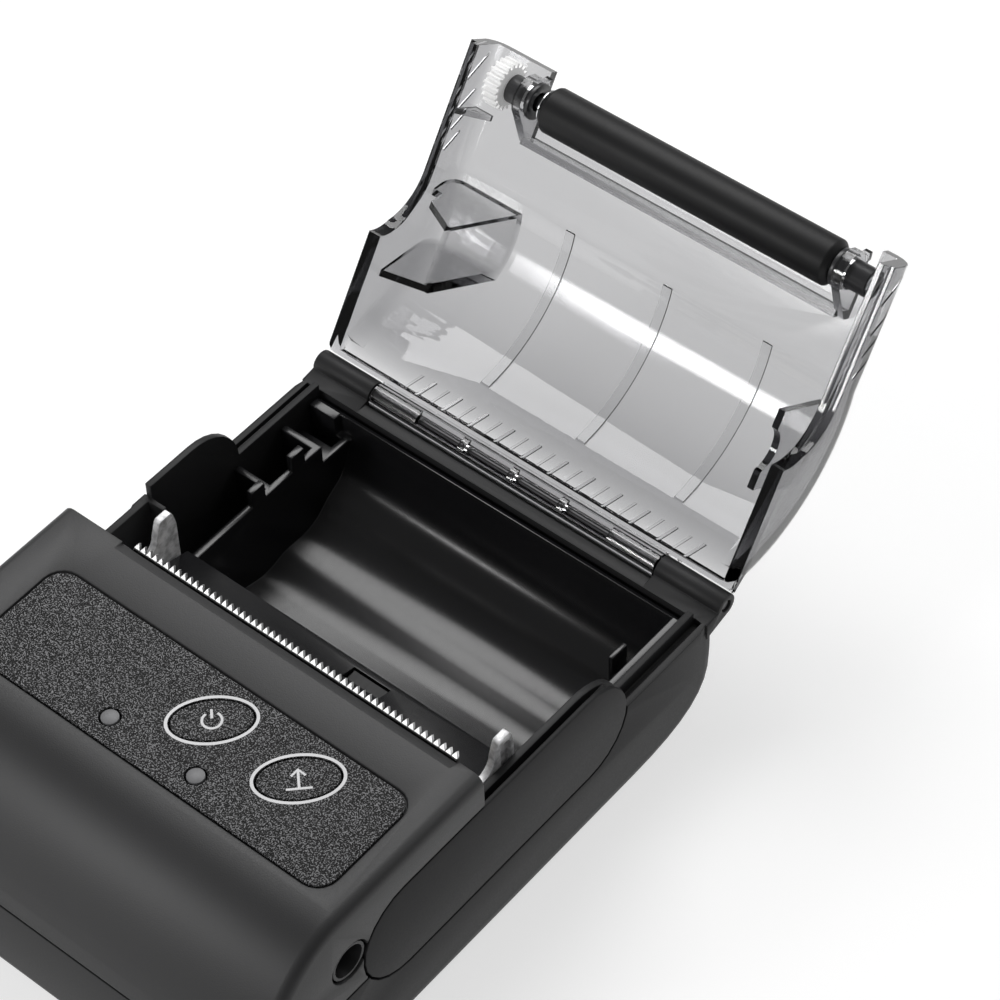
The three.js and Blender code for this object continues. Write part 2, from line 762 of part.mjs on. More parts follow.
function rollerBracket(x0, x1) {
  const top = coverTop - coverWall / 2;
  const foot = rollerReach - bracketFoot;
  const points = [
    [-foot, top],
    [-foot, top - bracketFootThickness - coverWall / 2],
    ...arc(-rollerReach, rollerRise, bracketRadius, bracketRadius, -quarter * 0.35, -quarter * 2.7, 11),
    [-slotReach + overrun, top],
  ];
  return cut(alongX(points, x0, x1), rod(-rollerReach, rollerRise, bushRadius + gap, x0 - overrun, x1 + overrun));
}

function barrel() {
  const x0 = -half + leftKnuckleLength + gap;
  const x1 = half - rightKnuckleLength - gap;
  const foot = [
    [-knuckleRadius * 0.6, -knuckleRadius * 0.55],
    [0, -knuckleRadius * 0.4],
    [0, knuckleRadius * 0.95],
    [-knuckleRadius * 0.9, knuckleRadius * 1.25],
  ];
  return join(rod(0, 0, knuckleRadius, x0, x1), alongX(foot, x0, x1));
}

function barrelWindows() {
  const x0 = -half + leftKnuckleLength + gap + barrelEnd;
  const x1 = half - rightKnuckleLength - gap - barrelEnd;
  const pitch = (x1 - x0) / barrelSlots;
  const windows = [];
  for (let i = 0; i < barrelSlots; i += 1) {
    const start = x0 + i * pitch + slotWeb / 2;
    windows.push(block(start, start + pitch - slotWeb, -knuckleRadius * 1.5, knuckleRadius * 0.1,
      -knuckleRadius * 2, -knuckleRadius * 0.3));
  }
  return windows;
}

function coverShell() {
  const outer = roundedSides(coverProfile, half, coverEdgeRadius);
  let body = cut(outer, alongX(coverHollow(), -coverInner, coverInner));
  const skin = edgeCut(panelRadius + gap, panelRadius + gap, hingeZ + coverSkinRise);
  const lip = edgeCut(earReach + gap, earHeight - panelCentreHeight + gap * 2, hingeZ + coverSkinRise);
  [[-half - overrun, -coverLipOuter], [coverLipOuter, half + overrun]].forEach(([x0, x1]) => {
    body = cut(body, alongX(skin, x0, x1));
  });
  body = cut(body, alongX(lip, -half, half));
  body = cut(body, block(-tabLeft, tabRight, -coverReach - overrun, -slotReach, 0, coverTop + overrun));
  body = cut(body, rod(0, 0, knuckleRadius + gap, -half - overrun, -half + leftKnuckleLength + gap));
  body = cut(body, rod(0, 0, knuckleRadius + gap, half - rightKnuckleLength - gap, half + overrun));
  const guideBase = coverTop + domeOverPlate;
  body = join(body, barrel(), join(leftGuide(guideBase), rightGuide(guideBase)).intersect(outer));
  body = join(body, rollerBracket(-bracketLeft - bracketThickness, -bracketLeft));
  body = join(body, rollerBracket(bracketRight, bracketRight + bracketThickness));
  const foot = rollerReach - bracketFoot;
  body = join(body, block(-bracketLeft - overrun / 2, bracketRight + overrun / 2, -foot - ledgeThickness, -foot,
    coverTop - coverWall / 2 - ledgeHeight, coverTop - coverWall / 2));
  body = cut(body, ...barrelWindows());
  return cut(body, rod(0, 0, pinRadius + gap, -half - overrun, half + overrun, 16));
}

// Gears with straight-sided teeth
function gearOutline(teeth, phase, y, z) {
  const pitchRadius = (gearModule * teeth) / 2;
  const [root, tip] = [pitchRadius - 1.1 * gearModule, pitchRadius + 0.8 * gearModule];
  const step = turn / teeth;
  const points = [];
  for (let i = 0; i < teeth; i += 1) {
    [[root, -0.27], [tip, -0.14], [tip, 0.14], [root, 0.27]].forEach(([radius, share]) => {
      const angle = phase + (i + share) * step;
      points.push([y + radius * Math.cos(angle), z + radius * Math.sin(angle)]);
    });
  }
  return points;
}

const gear = (teeth, phase, y, z, x0, x1, bore) => alongX(gearOutline(teeth, phase, y, z), x0, x1,
  [circle(y, z, bore, 12)]);

// Centres of the gear train, worked out from the closed roller
const radiusOf = (teeth) => (gearModule * teeth) / 2;
const idlerReach = radiusOf(platenTeeth) + radiusOf(idlerTeeth) + 1.6 * gearModule + gap;
const idlerZ = rollerZ - idlerBelow;
const idlerY = rollerY - Math.sqrt(idlerReach ** 2 - idlerBelow ** 2);
const motorY = rollerY - motorBehind;
const motorZ = rollerZ - motorBelow;
const wheelToMotor = radiusOf(wheelTeeth) + radiusOf(pinionTeeth) + meshSlack;
const wheelToIdler = radiusOf(pinionTeeth) + radiusOf(idlerTeeth) + meshSlack;
const idlerToMotor = Math.hypot(motorY - idlerY, motorZ - idlerZ);
const wheelAlong = (wheelToIdler ** 2 - wheelToMotor ** 2 + idlerToMotor ** 2) / (2 * idlerToMotor);
const wheelAside = Math.sqrt(wheelToIdler ** 2 - wheelAlong ** 2);
const lineY = (motorY - idlerY) / idlerToMotor;
const lineZ = (motorZ - idlerZ) / idlerToMotor;
const wheelY = idlerY + wheelAlong * lineY + wheelAside * lineZ;
const wheelZ = idlerZ + wheelAlong * lineZ - wheelAside * lineY;
const motorToWheel = Math.atan2(wheelZ - motorZ, wheelY - motorY);
const wheelToIdlerAngle = Math.atan2(idlerZ - wheelZ, idlerY - wheelY);
const halfTurn = Math.PI;

// Places along the gear side, from the fork outwards
const forkInner = bracketLeft + bracketThickness + 1;
const forkOuter = forkInner + forkThickness;
const innerGearX = forkOuter + gap;
const outerGearX = innerGearX + gearWidth + gap;
const postEnd = outerGearX + gearWidth + gap;
const rightForkInner = bracketRight + bracketThickness + gap * 2;

function forkOutline(withPlate) {
  const slot = bushRadius + gap;
  const top = rollerZ + forkTop;
  const rear = rollerY + slot + forkArm;
  const front = rollerY - slot - forkFrontArm;
  const foot = frameBottom - gap;
  const plateFront = withPlate ? wheelY - overrun * 2 : front;
  const plateTop = withPlate ? idlerZ + overrun * 2 : rollerZ - slot * 2;
  return [
    [plateFront, foot],
    [rear, foot],
    [rear, rollerZ],
    [rear - forkFlare / 2, top - forkFlare],
    [rear - forkFlare, top],
    [rollerY + slot + forkFlare * 1.4, top],
    [rollerY + slot + forkFlare, top - forkFlare / 2],
    ...arc(rollerY, rollerZ, slot, slot, 0, -halfTurn, 10),
    [rollerY - slot - forkFlare / 2, top - forkFlare * 2],
    [front + forkFlare, top - forkFlare * 2],
    [front, rollerZ],
    [front, plateTop],
    [plateFront, plateTop],
  ];
}

function leftFork() {
  const plate = alongX(forkOutline(true), -forkOuter, -forkInner,
    [circle(motorY, motorZ, motorShaftRadius + gap, 12)]);
  const stud = (y, z) => rod(y, z, gearPostRadius, -postEnd, -forkInner - forkThickness / 2, 10);
  return join(plate, stud(wheelY, wheelZ), stud(idlerY, idlerZ));
}

// The rear arm of the right fork has a pressed pocket
function rightFork() {
  const x1 = rightForkInner + forkThickness;
  const rear = rollerY + bushRadius + gap + forkArm;
  const front = rear - forkArm + forkFlare;
  const top = rollerZ + forkTop;
  const plate = alongX(forkOutline(false), rightForkInner, x1);
  const pocket = alongX(roundedRectangle(front + forkFlare / 2, rear - forkFlare, rollerZ - forkArm * 1.4,
    top - forkFlare * 1.6, forkFlare, 3), x1 - forkThickness / 2, x1 + overrun);
  return cut(plate, pocket);
}

// Paper sensor that looks up through a window in the chute
const sensorRear = rollerY + frameRear - frameThickness - gap;
const sensorPlace = [switchSide, switchSide * 2, sensorRear - wall, sensorRear];
const paperSensor = () => block(...sensorPlace, frameRearTop - switchSide, frameRearTop);

// Channel that carries the head, the motor and both forks; its rear wall bends over into a paper chute
function mechanismFrame() {
  const t = frameThickness;
  const front = rollerY - frameFront;
  const rear = rollerY + frameRear;
  const points = [
    [front, frameBottom],
    [rear, frameBottom],
    [rear, frameRearTop],
    [rollerY - chuteReach, rollerZ - chuteDrop],
    [rollerY - chuteReach, rollerZ - chuteDrop - chuteThickness],
    [rear - t, frameRearTop - chuteThickness / 2],
    [rear - t, frameBottom + t],
    [front + t, frameBottom + t],
    [front + t, frameFrontTop],
    [front, frameFrontTop],
  ];
  const [x0, x1, y0, y1] = sensorPlace;
  const sensorWindow = block(x0 - gap, x1 + gap, y0 - gap, y1 + gap, frameRearTop - wall, rollerZ - chuteDrop);
  return cut(alongX(points, -forkInner + gap, rightForkInner - gap), sensorWindow);
}

const headFaceY = rollerY - rubberRadius - gap;

function headSpring() {
  const back = headFaceY - headThickness - sinkThickness - gap;
  const front = rollerY - frameFront + frameThickness + gap;
  const middle = rollerZ - headBelow / 2;
  const bow = headAbove;
  const t = springThickness;
  const points = [
    [front, middle - bow - t],
    [front + t, middle - bow - t],
    [back - t / 2, middle - t],
    [back, middle],
    [back - t / 2, middle + t],
    [front + t, middle + bow + t],
    [front, middle + bow + t],
    [back - t * 2, middle],
  ];
  return alongX(points, -switchSide, switchSide * 2);
}

function stepperMotor() {
  const x0 = -forkInner + gap + overrun;
  const can = rod(motorY, motorZ, motorRadius, x0, x0 + motorLength, 28);
  const shaft = rod(motorY, motorZ, motorShaftRadius, -innerGearX - gearWidth, x0 + overrun, 12);
  const foot = block(x0 + overrun, x0 + motorLength - overrun, motorY - motorRadius / 2, motorY + motorRadius / 2,
    frameBottom + frameThickness, motorZ - motorRadius / 2);
  return join(can, shaft, foot);
}

// Paper bin: a glossy trough with long flutes, and the ribbed bay on its left
function troughLine() {
  const depth = binTop;
  const floor = wall + binSlack + binWall;
  const rear = binRearTop - binWall;
  const base = bezier([binFront + binWall, floor + depth * 0.55], [binFront + binWall, floor + depth * 0.05],
    [binFront + binWall + (rear - binFront) * 0.12, floor], [binFront + (rear - binFront) * 0.36, floor], 8);
  const climb = bezier([binFront + (rear - binFront) * 0.36, floor], [binFront + (rear - binFront) * 0.8, floor],
    [rear - (rear - binFront) * 0.03, floor + depth * 0.22], [rear, binTop], 24);
  return [...base, ...climb.slice(1)];
}

function flutedTrough() {
  const line = troughLine();
  const lengths = [0];
  for (let i = 1; i < line.length; i += 1) {
    lengths.push(lengths[i - 1] + Math.hypot(line[i][0] - line[i - 1][0], line[i][1] - line[i - 1][1]));
  }
  const total = lengths[lengths.length - 1];
  return line.map(([y, z], i) => {
    const [before, after] = [line[Math.max(i - 1, 0)], line[Math.min(i + 1, line.length - 1)]];
    const length = Math.hypot(after[0] - before[0], after[1] - before[1]);
    const share = lengths[i] / total;
    const lift = fluteShares
      .reduce((sum, place) => sum + Math.exp(-(((share - place) / fluteWidthShare) ** 2) * 2), 0) * fluteHeight;
    return [y - ((after[1] - before[1]) / length) * lift, z + ((after[0] - before[0]) / length) * lift];
  });
}

function paperBin() {
  const under = [
    [binFront, binTop],
    [binFront, wall + binSlack],
    [-frontY - rearFaceInset - rearCurveReach, wall + binSlack],
    ...bezier([-frontY - rearFaceInset - rearCurveReach, wall + binSlack],
      [-frontY - rearFaceInset - rearCurveReach * 0.38, wall + binSlack],
      [binRearTop - binSlack, rearCurveHeight * 0.5], [binRearTop - binSlack, rearCurveHeight], 6).slice(1),
    [binRearTop, binTop],
  ];
  const inside = [...flutedTrough(), [binRearTop - binWall, binTop + overrun], [binFront + binWall, binTop + overrun]];
  const x0 = -innerHalf + gap;
  const x1 = innerHalf - gap;
  const whole = alongX(under, x0, x1);
  const trough = alongX(inside, -partitionX, x1 - binWall);
  const bayFloor = wall + binSlack + binWall;
  const bayInside = [
    [binFront - overrun, bayFloor],
    [-frontY - rearFaceInset - rearCurveReach, bayFloor],
    [binRearTop - binWall * 2, rearCurveHeight],
    [binRearTop - binWall * 2, binTop + overrun],
    [binFront - overrun, binTop + overrun],
  ];
  const bay = alongX(bayInside, x0 - overrun, -partitionX - partitionThickness);
  const body = cut(whole, trough, bay);
  const partEdge = -partitionX - partitionThickness;
  const ribs = [panelRear + panelRadius - bayRibThickness / 2, panelRear + panelRadius * 2 + bayRibThickness]
    .map((y) => block(x0, partEdge + overrun / 2, y - bayRibThickness / 2, y + bayRibThickness / 2,
      bayFloor - binWall / 2, binTop));
  const ribRear = panelRear + panelRadius * 2 + bayRibThickness * 1.5;
  const opened = cut(body, block(partEdge - overrun, -partitionX + gap, ribRear, binRearTop - binWall,
    bayPlatformHeight, binTop + overrun));
  const platform = block(partEdge - bayPlatformWidth, -partitionX,
    ribRear - bayRibThickness / 2, hingeY - bayPlatformRear, rearCurveHeight * 0.6, bayPlatformHeight);
  const steps = [
    [panelRear + panelRadius * 0.42, panelRear + panelRadius * 0.75],
    [panelRear + panelRadius * 1.45, panelRear + panelRadius * 1.78],
  ].map(([y0, y1]) => block(partEdge, -partitionX, y0, y1, binTop - overrun, binTop + stepRise));
  const tab = block(x1 - binWall - tabInset - tabThickness, x1 - binWall - tabInset,
    panelRear + panelRadius * 1.65, panelRear + panelRadius * 1.65 + tabWidth, binTop - tabWidth * 2, binTop + gap);
  const tabFoot = block(x1 - binWall - tabInset - tabThickness, x1 - binWall / 2,
    panelRear + panelRadius * 1.65, panelRear + panelRadius * 1.65 + tabThickness, binTop - tabWidth * 2,
    binTop - tabWidth);
  return join(opened, ...ribs, platform, ...steps, tab, tabFoot);
}

function sidePanel(side) {
  const skinEdge = half - panelSkin;
  const backEdge = lipOuter + gap;
  const top = side < 0 ? fingerCatchHeight : bodyHeight;
  const low = rectangle(frontY, -frontY, 0, Math.min(top, panelLedgeHeight));
  const skin = alongX(stadium(0), skinEdge, half);
  const back = alongX(stadium(-gap * 2), backEdge, half).intersect(alongX(low, 0, half));
  const whole = join(skin, back).intersect(alongX(rectangle(frontY, -frontY, 0, top), 0, half));
  return side < 0 ? whole.mirror([1, 0, 0]) : whole;
}

// Keys, lamps, switches and the board under them
const switchTop = boardHeight + boardThickness + switchHeight + plungerHeight;

function key(x) {
  const top = bodyHeight - (labelRecess - labelThickness) / 2;
  const under = bodyHeight - wall - gap - keyTravel / 2;
  const cap = alongZ(keyOutline(x, 0), under - keyFlangeThickness / 2, top);
  const flange = alongZ(keyOutline(x, keyFlange), under - keyFlangeThickness, under);
  const stem = post(x, keyRow, keyStemRadius, switchTop + keyTravel + gap, under, 16);
  return join(cap, flange, stem);
}

function tactSwitch(x) {
  const base = boardHeight + boardThickness;
  const body = alongZ(roundedRectangle(x - switchSide / 2, x + switchSide / 2, keyRow - switchSide / 2,
    keyRow + switchSide / 2, switchSide / 10, 2), base, base + switchHeight);
  return join(body, post(x, keyRow, plungerRadius, base + switchHeight / 2, switchTop, 14));
}

const lightPipe = (x) => join(
  post(x, lampRow, lampRadius, boardHeight + boardThickness + gap, bodyHeight - (labelRecess - labelThickness) / 2, 16),
  post(x, lampRow, lampRadius * 1.5, boardHeight + boardThickness + gap, boardHeight + boardThickness + wall, 16),
);

function controlLabel() {
  const base = bodyHeight - labelRecess + (labelRecess - labelThickness) / 2;
  const holes = [keyOutline(powerKeyX, gap), keyOutline(feedKeyX, gap),
    circle(powerLampX, lampRow, lampRadius + gap, 16), circle(statusLampX, lampRow, lampRadius + gap, 16)];
  return alongZ(labelOutline(0), base, base + labelThickness, holes);
}

function dcJack() {
  const x1 = half - gap;
  const bodyEnd = half - wall - gap;
  const box = block(bodyEnd - jackBodyLength, bodyEnd, jackRow - jackBody / 2, jackRow + jackBody / 2,
    jackHeight - jackBody / 2, jackHeight + jackBody / 2);
  const barrelBody = rod(jackRow, jackHeight, jackBarrelRadius, bodyEnd - overrun, x1);
  const bore = rod(jackRow, jackHeight, jackBore, x1 - jackDepth, x1 + overrun);
  return join(cut(join(box, barrelBody), bore), rod(jackRow, jackHeight, jackPin, x1 - jackDepth - overrun / 2,
    x1 - wall, 12));
}

function mainBoard() {
  return block(-boardHalf, boardHalf, boardFront, boardRear, boardHeight, boardHeight + boardThickness);
}

function flexCable() {
  const cableSide = cableInset - rubberLeft;
  const t = springThickness;
  const back = headFaceY - headThickness - sinkThickness - gap;
  const over = frameFrontTop + gap;
  const low = boardHeight + boardThickness + gap;
  const drop = rollerY - frameFront - gap;
  const end = boardRear - wall;
  const points = [
    [back - t, over - headAbove],
    [back, over - headAbove],
    [back, over + t],
    [drop - t, over + t],
    [drop - t, low + t],
    [end, low + t],
    [end, low],
    [drop, low],
    [drop, over],
    [back - t, over],
  ];
  return alongX(points, cableSide, cableSide + cableWidth);
}

function batteryPack() {
  return alongX(roundedRectangle(batteryFront + gap, batteryRear - gap, doorThickness + gap, batteryTop,
    batteryCorner), -batteryLeft, batteryRight);
}

function batteryDoor() {
  const plate = alongZ(doorOpening(0), 0, doorThickness);
  const catchX = (batteryRight - batteryLeft) / 2;
  const grip = block(catchX - switchSide, catchX + switchSide, batteryFront + doorMargin, batteryFront + doorMargin * 2,
    -overrun, doorThickness / 3);
  return cut(plate, grip);
}

function batteryConnector() {
  return block(batteryRight + gap, batteryRight + gap + wall, batteryRear - switchSide * 2, batteryRear - switchSide,
    wall + gap, wall + switchSide);
}

function screw(x, y) {
  const head = post(x, y, screwHeadRadius, screwHeadInset, screwHeadInset + screwHeadHeight);
  const shank = post(x, y, screwRadius, screwHeadInset, screwHeadInset + screwLength, 10);
  const slotHalf = screwRadius / 4;
  const slot = block(x - screwRadius, x + screwRadius, y - slotHalf, y + slotHalf, 0, screwHeadInset + slotHalf * 2);
  return cut(join(head, shank), slot);
}

// Assembly
const printer = new THREE.Group();

function add(group, name, body, material) {
  const mesh = new THREE.Mesh(body.isBufferGeometry ? body : surface(body), material);
  mesh.name = name;
  group.add(mesh);
  return mesh;
}

add(printer, 'bottom_case', bottomCase(), blackPlastic);
add(printer, 'front_cover', frontCover(), blackPlastic);
add(printer, 'paper_bin', paperBin(), glossBlack);
add(printer, 'left_side_panel', sidePanel(-1), blackPlastic);
add(printer, 'right_side_panel', sidePanel(1), blackPlastic);
add(printer, 'tear_bar', tearBar(), brightSteel);
add(printer, 'mechanism_frame', mechanismFrame(), glossBlack);
add(printer, 'left_latch_fork', leftFork(), brightSteel);
add(printer, 'right_latch_fork', rightFork(), brightSteel);
add(printer, 'print_head', block(-rubberLeft, rubberRight, headFaceY - headThickness, headFaceY,
  rollerZ - headBelow, rollerZ + headAbove), ceramic);
add(printer, 'heat_sink', block(-rubberLeft - overrun, rubberRight + overrun,
  headFaceY - headThickness - sinkThickness, headFaceY - headThickness - gap / 3,
  rollerZ - headBelow - overrun, rollerZ + headAbove), aluminium);
add(printer, 'head_spring', headSpring(), brightSteel);
add(printer, 'stepper_motor', stepperMotor(), dullSteel);
add(printer, 'main_board', mainBoard(), boardGreen);
add(printer, 'controller_chip', block(-boardHalf / 3, -boardHalf / 3 + switchSide * 1.6, boardFront + overrun,
  boardFront + overrun + switchSide * 1.6, boardHeight + boardThickness, boardHeight + boardThickness + 1.5 * gearWidth),
chipBlack);
add(printer, 'radio_module', block(-boardHalf + overrun, -boardHalf + overrun + switchSide * 2, boardFront + overrun,
  boardFront + overrun + switchSide * 1.7, boardHeight + boardThickness, boardHeight + boardThickness + wall), dullSteel);
add(printer, 'power_switch', tactSwitch(powerKeyX), chipBlack);
add(printer, 'feed_switch', tactSwitch(feedKeyX), chipBlack);
add(printer, 'power_light_pipe', lightPipe(powerLampX), lampGrey);
add(printer, 'status_light_pipe', lightPipe(statusLampX), lampGrey);
add(printer, 'power_button', key(powerKeyX), labelFilm);
add(printer, 'feed_button', key(feedKeyX), labelFilm);
add(printer, 'control_label', controlLabel(), labelFilm);
add(printer, 'dc_jack', dcJack(), chipBlack);
add(printer, 'head_flex_cable', flexCable(), cableOrange);
add(printer, 'paper_sensor', paperSensor(), chipBlack);
add(printer, 'battery_pack', batteryPack(), packBlue);
add(printer, 'battery_connector', batteryConnector(), chipBlack);
add(printer, 'battery_door', batteryDoor(), blackPlastic);
add(printer, 'hinge_pin', rod(hingeY, hingeZ, pinRadius, -half + gap, half - gap, 16), brightSteel);
screwPlaces.forEach(([x, y]) => {
  add(printer, `case_screw_${y < screwRearY ? 'front' : 'rear'}_${x < 0 ? 'left' : 'right'}`, screw(x, y), dullSteel);
});

const wheelBig = gear(wheelTeeth, motorToWheel + halfTurn + halfTurn / wheelTeeth, wheelY, wheelZ,
  -innerGearX - gearWidth, -innerGearX, gearPostRadius + gap);
const wheelSmall = gear(pinionTeeth, wheelToIdlerAngle, wheelY, wheelZ,
  -outerGearX - gearWidth, -innerGearX - gearWidth / 2, gearPostRadius + gap);
add(printer, 'motor_pinion', gear(pinionTeeth, motorToWheel, motorY, motorZ, -innerGearX - gearWidth, -innerGearX,
  motorShaftRadius + gap), whitePlastic);
add(printer, 'reduction_gear', join(wheelBig, wheelSmall), whitePlastic);
add(printer, 'idler_gear', gear(idlerTeeth, wheelToIdlerAngle + halfTurn + halfTurn / idlerTeeth, idlerY, idlerZ,
  -outerGearX - gearWidth, -outerGearX, gearPostRadius + gap), whitePlastic);

// Cover, with the roller turning in its bushes
const cover = new THREE.Group();
cover.position.set(0, hingeY, hingeZ);
cover.rotation.x = -THREE.MathUtils.degToRad(coverOpenDegrees);
printer.add(cover);
add(cover, 'cover_shell', coverShell(), clearSmoke);

const roller = new THREE.Group();
roller.position.set(0, -rollerReach, rollerRise);
cover.add(roller);

function bush(side, inner, outer) {
  const flange = rod(0, 0, bushFlangeRadius, inner - bushFlangeThickness - gap, inner - gap);
  const body = join(flange, rod(0, 0, bushRadius, inner - gap - bushFlangeThickness / 2, outer));
  const bored = cut(body, rod(0, 0, journalRadius + gap, inner - overrun * 2, outer + overrun, 16));
  return side < 0 ? bored.mirror([1, 0, 0]) : bored;
}

const leftBushEnd = forkOuter + gap;
const rightBushEnd = coverInner - gap;
add(cover, 'left_roller_bush', bush(-1, bracketLeft, leftBushEnd).translate([0, -rollerReach, rollerRise]), bushPlastic);
add(cover, 'right_roller_bush', bush(1, bracketRight, rightBushEnd).translate([0, -rollerReach, rollerRise]),
  bushPlastic);

function rubberSleeve() {
  const inner = shaftRadius + gap;
  const points = [
    [inner, -rubberLeft],
    [rubberRadius - rubberChamfer, -rubberLeft],
    [rubberRadius, -rubberLeft + rubberChamfer],
    [rubberRadius, rubberRight - rubberChamfer],
    [rubberRadius - rubberChamfer, rubberRight],
    [inner, rubberRight],
    [inner, -rubberLeft],
  ].map(([radius, x]) => new THREE.Vector2(radius, x));
  const sleeve = new THREE.LatheGeometry(points, 32);
  sleeve.rotateZ(-quarter);
  return solid(sleeve);
}

const gearStart = leftBushEnd + gap;
add(roller, 'roller_shaft', join(
  rod(0, 0, shaftRadius, -rubberLeft, rubberRight),
  rod(0, 0, journalRadius, -gearStart - platenGearWidth - gap, rightBushEnd - gap, 16),
), brightSteel);
add(roller, 'roller_rubber', rubberSleeve(), blackRubber);
add(roller, 'roller_gear', gear(platenTeeth, 0, 0, 0, -gearStart - platenGearWidth, -gearStart, journalRadius + gap),
  whitePlastic);

export default printer;
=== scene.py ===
"""Dresses a portable receipt printer, shown with its clear paper cover open, for a studio picture."""

import json
import math

import bpy
from mathutils import Matrix, Vector


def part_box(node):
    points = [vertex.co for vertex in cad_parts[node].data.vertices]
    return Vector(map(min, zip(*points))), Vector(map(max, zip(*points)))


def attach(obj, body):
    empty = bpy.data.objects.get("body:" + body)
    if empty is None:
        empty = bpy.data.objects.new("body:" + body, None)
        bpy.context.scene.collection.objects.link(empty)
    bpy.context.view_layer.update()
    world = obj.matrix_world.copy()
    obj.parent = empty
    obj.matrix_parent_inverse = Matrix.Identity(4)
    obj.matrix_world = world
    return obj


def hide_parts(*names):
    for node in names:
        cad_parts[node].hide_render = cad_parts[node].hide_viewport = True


bl_info = {
    "name": "Receipt Printer Dresser",
    "version": (1, 0, 0),
    "blender": (4, 5, 0),
    "location": "View3D > Sidebar > Printer",
    "description": "Finishes the solids of a portable receipt printer and lights them",
    "category": "Object",
}

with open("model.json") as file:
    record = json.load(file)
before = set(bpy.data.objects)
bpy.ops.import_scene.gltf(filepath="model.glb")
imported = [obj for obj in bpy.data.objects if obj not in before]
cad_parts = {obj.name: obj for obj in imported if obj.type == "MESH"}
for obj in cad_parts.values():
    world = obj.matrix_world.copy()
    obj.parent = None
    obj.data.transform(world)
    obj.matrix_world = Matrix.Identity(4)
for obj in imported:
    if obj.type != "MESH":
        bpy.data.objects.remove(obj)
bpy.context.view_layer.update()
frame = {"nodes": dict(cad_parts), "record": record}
MM = 0.001


class PrinterView(bpy.types.PropertyGroup):
    """Where the camera stands, in the part's own axes"""

    azimuth: bpy.props.FloatProperty(
        name="Azimuth", description="Turn of the camera round the printer, in degrees", default=42.01)
    elevation: bpy.props.FloatProperty(
        name="Elevation", description="Height of the camera above the horizon, in degrees", default=49.16)
    roll: bpy.props.FloatProperty(name="Roll", description="Tilt of the picture, in degrees", default=-2.81)
    distance: bpy.props.FloatProperty(
        name="Distance", description="From the camera to the point that it looks at", default=0.4904, unit="LENGTH")
    aside: bpy.props.FloatProperty(
        name="Aside", description="How far the camera stands to its right", default=0.02709, unit="LENGTH")
    above: bpy.props.FloatProperty(
        name="Above", description="How far the camera is raised in its own picture", default=0.01907, unit="LENGTH")
    target: bpy.props.FloatVectorProperty(
        name="Target", description="The point that the camera is set out from", default=(0, -0.00305, 0.036),
        subtype="XYZ")
    lens: bpy.props.FloatProperty(name="Lens", description="Focal length on a 36 mm sensor", default=130.94)
    shift: bpy.props.FloatVectorProperty(
        name="Shift", description="Shift of the picture, in shares of its width",
        default=(0.02735, -0.01095), size=2)


class PrinterLight(bpy.types.PropertyGroup):
    """The studio lamps and the floor"""

    world: bpy.props.FloatProperty(name="World", description="Strength of the light from all round", default=0.2)
    top: bpy.props.FloatProperty(name="Top", description="Power of the large lamp above, in watts", default=4.4)
    front: bpy.props.FloatProperty(
        name="Front", description="Power of the soft box that the cover mirrors, in watts", default=2.3)
    back: bpy.props.FloatProperty(name="Back", description="Power of the lamp behind the hinge", default=1.2)
    floor: bpy.props.FloatVectorProperty(
        name="Floor", description="Colour of the floor", default=(0.5, 0.5, 0.5), subtype="COLOR")
    floor_white: bpy.props.FloatProperty(
        name="Floor white", description="How far the floor is lifted towards white in the picture", default=0.62)


class PrinterFinish(bpy.types.PropertyGroup):
    """Colours and edge sizes of the printer"""

    case: bpy.props.FloatVectorProperty(
        name="Case", description="Textured black of the case", default=(0.022, 0.022, 0.023), subtype="COLOR")
    bin: bpy.props.FloatVectorProperty(
        name="Bin", description="Glossy black of the paper bin", default=(0.010, 0.010, 0.011), subtype="COLOR")
    label: bpy.props.FloatVectorProperty(
        name="Label", description="Ground of the control label", default=(0.018, 0.018, 0.0185), subtype="COLOR")
    smoke: bpy.props.FloatVectorProperty(
        name="Smoke", description="Tint inside the clear cover", default=(0.8, 0.8, 0.805), subtype="COLOR")
    smoke_density: bpy.props.FloatProperty(
        name="Smoke density", description="Strength of the tint for each metre of plastic", default=1650)
    print: bpy.props.FloatVectorProperty(
        name="Print", description="White print on the label", default=(0.74, 0.74, 0.75), subtype="COLOR")
    edge: bpy.props.FloatProperty(
        name="Edge", description="Width of the rounded edges of the mouldings", default=0.00025, unit="LENGTH")
    fine_edge: bpy.props.FloatProperty(
        name="Fine edge", description="Width of the rounded edges of the metal", default=0.0001, unit="LENGTH")
    # painted light: strength of the glow painted on the roller's gear
    painted_gear_glow: bpy.props.FloatProperty(
        name="Gear lift", description="Light that the roller's gear gives off for what soaks through the cover",
        default=0.2)


class PrinterCover(bpy.types.PropertyGroup):
    """Fine mouldings of the clear cover"""

    strap_width: bpy.props.FloatProperty(
        name="Strap width", description="Width of a raised paper strap", default=0.0016, unit="LENGTH")
    strap_height: bpy.props.FloatProperty(
        name="Strap height", description="How far a strap stands off the dome", default=0.0003, unit="LENGTH")
    strap_pitch: bpy.props.FloatProperty(
        name="Strap pitch", description="From one strap to the next", default=0.018, unit="LENGTH")
    corner: bpy.props.FloatProperty(
        name="Corner", description="Radius in the corner between dome and side", default=0.0024, unit="LENGTH")
    gusset_pitch: bpy.props.FloatProperty(
        name="Gusset pitch", description="From one gusset at the hinge to the next", default=0.005, unit="LENGTH")
    gusset_thickness: bpy.props.FloatProperty(
        name="Gusset thickness", description="Thickness of a gusset", default=0.0004, unit="LENGTH")
    rim: bpy.props.FloatProperty(
        name="Rim", description="Width of the rounded edges along the sides", default=0.00012, unit="LENGTH")
    groove: bpy.props.FloatProperty(
        name="Groove", description="Width and depth of the grip grooves", default=0.0003, unit="LENGTH")


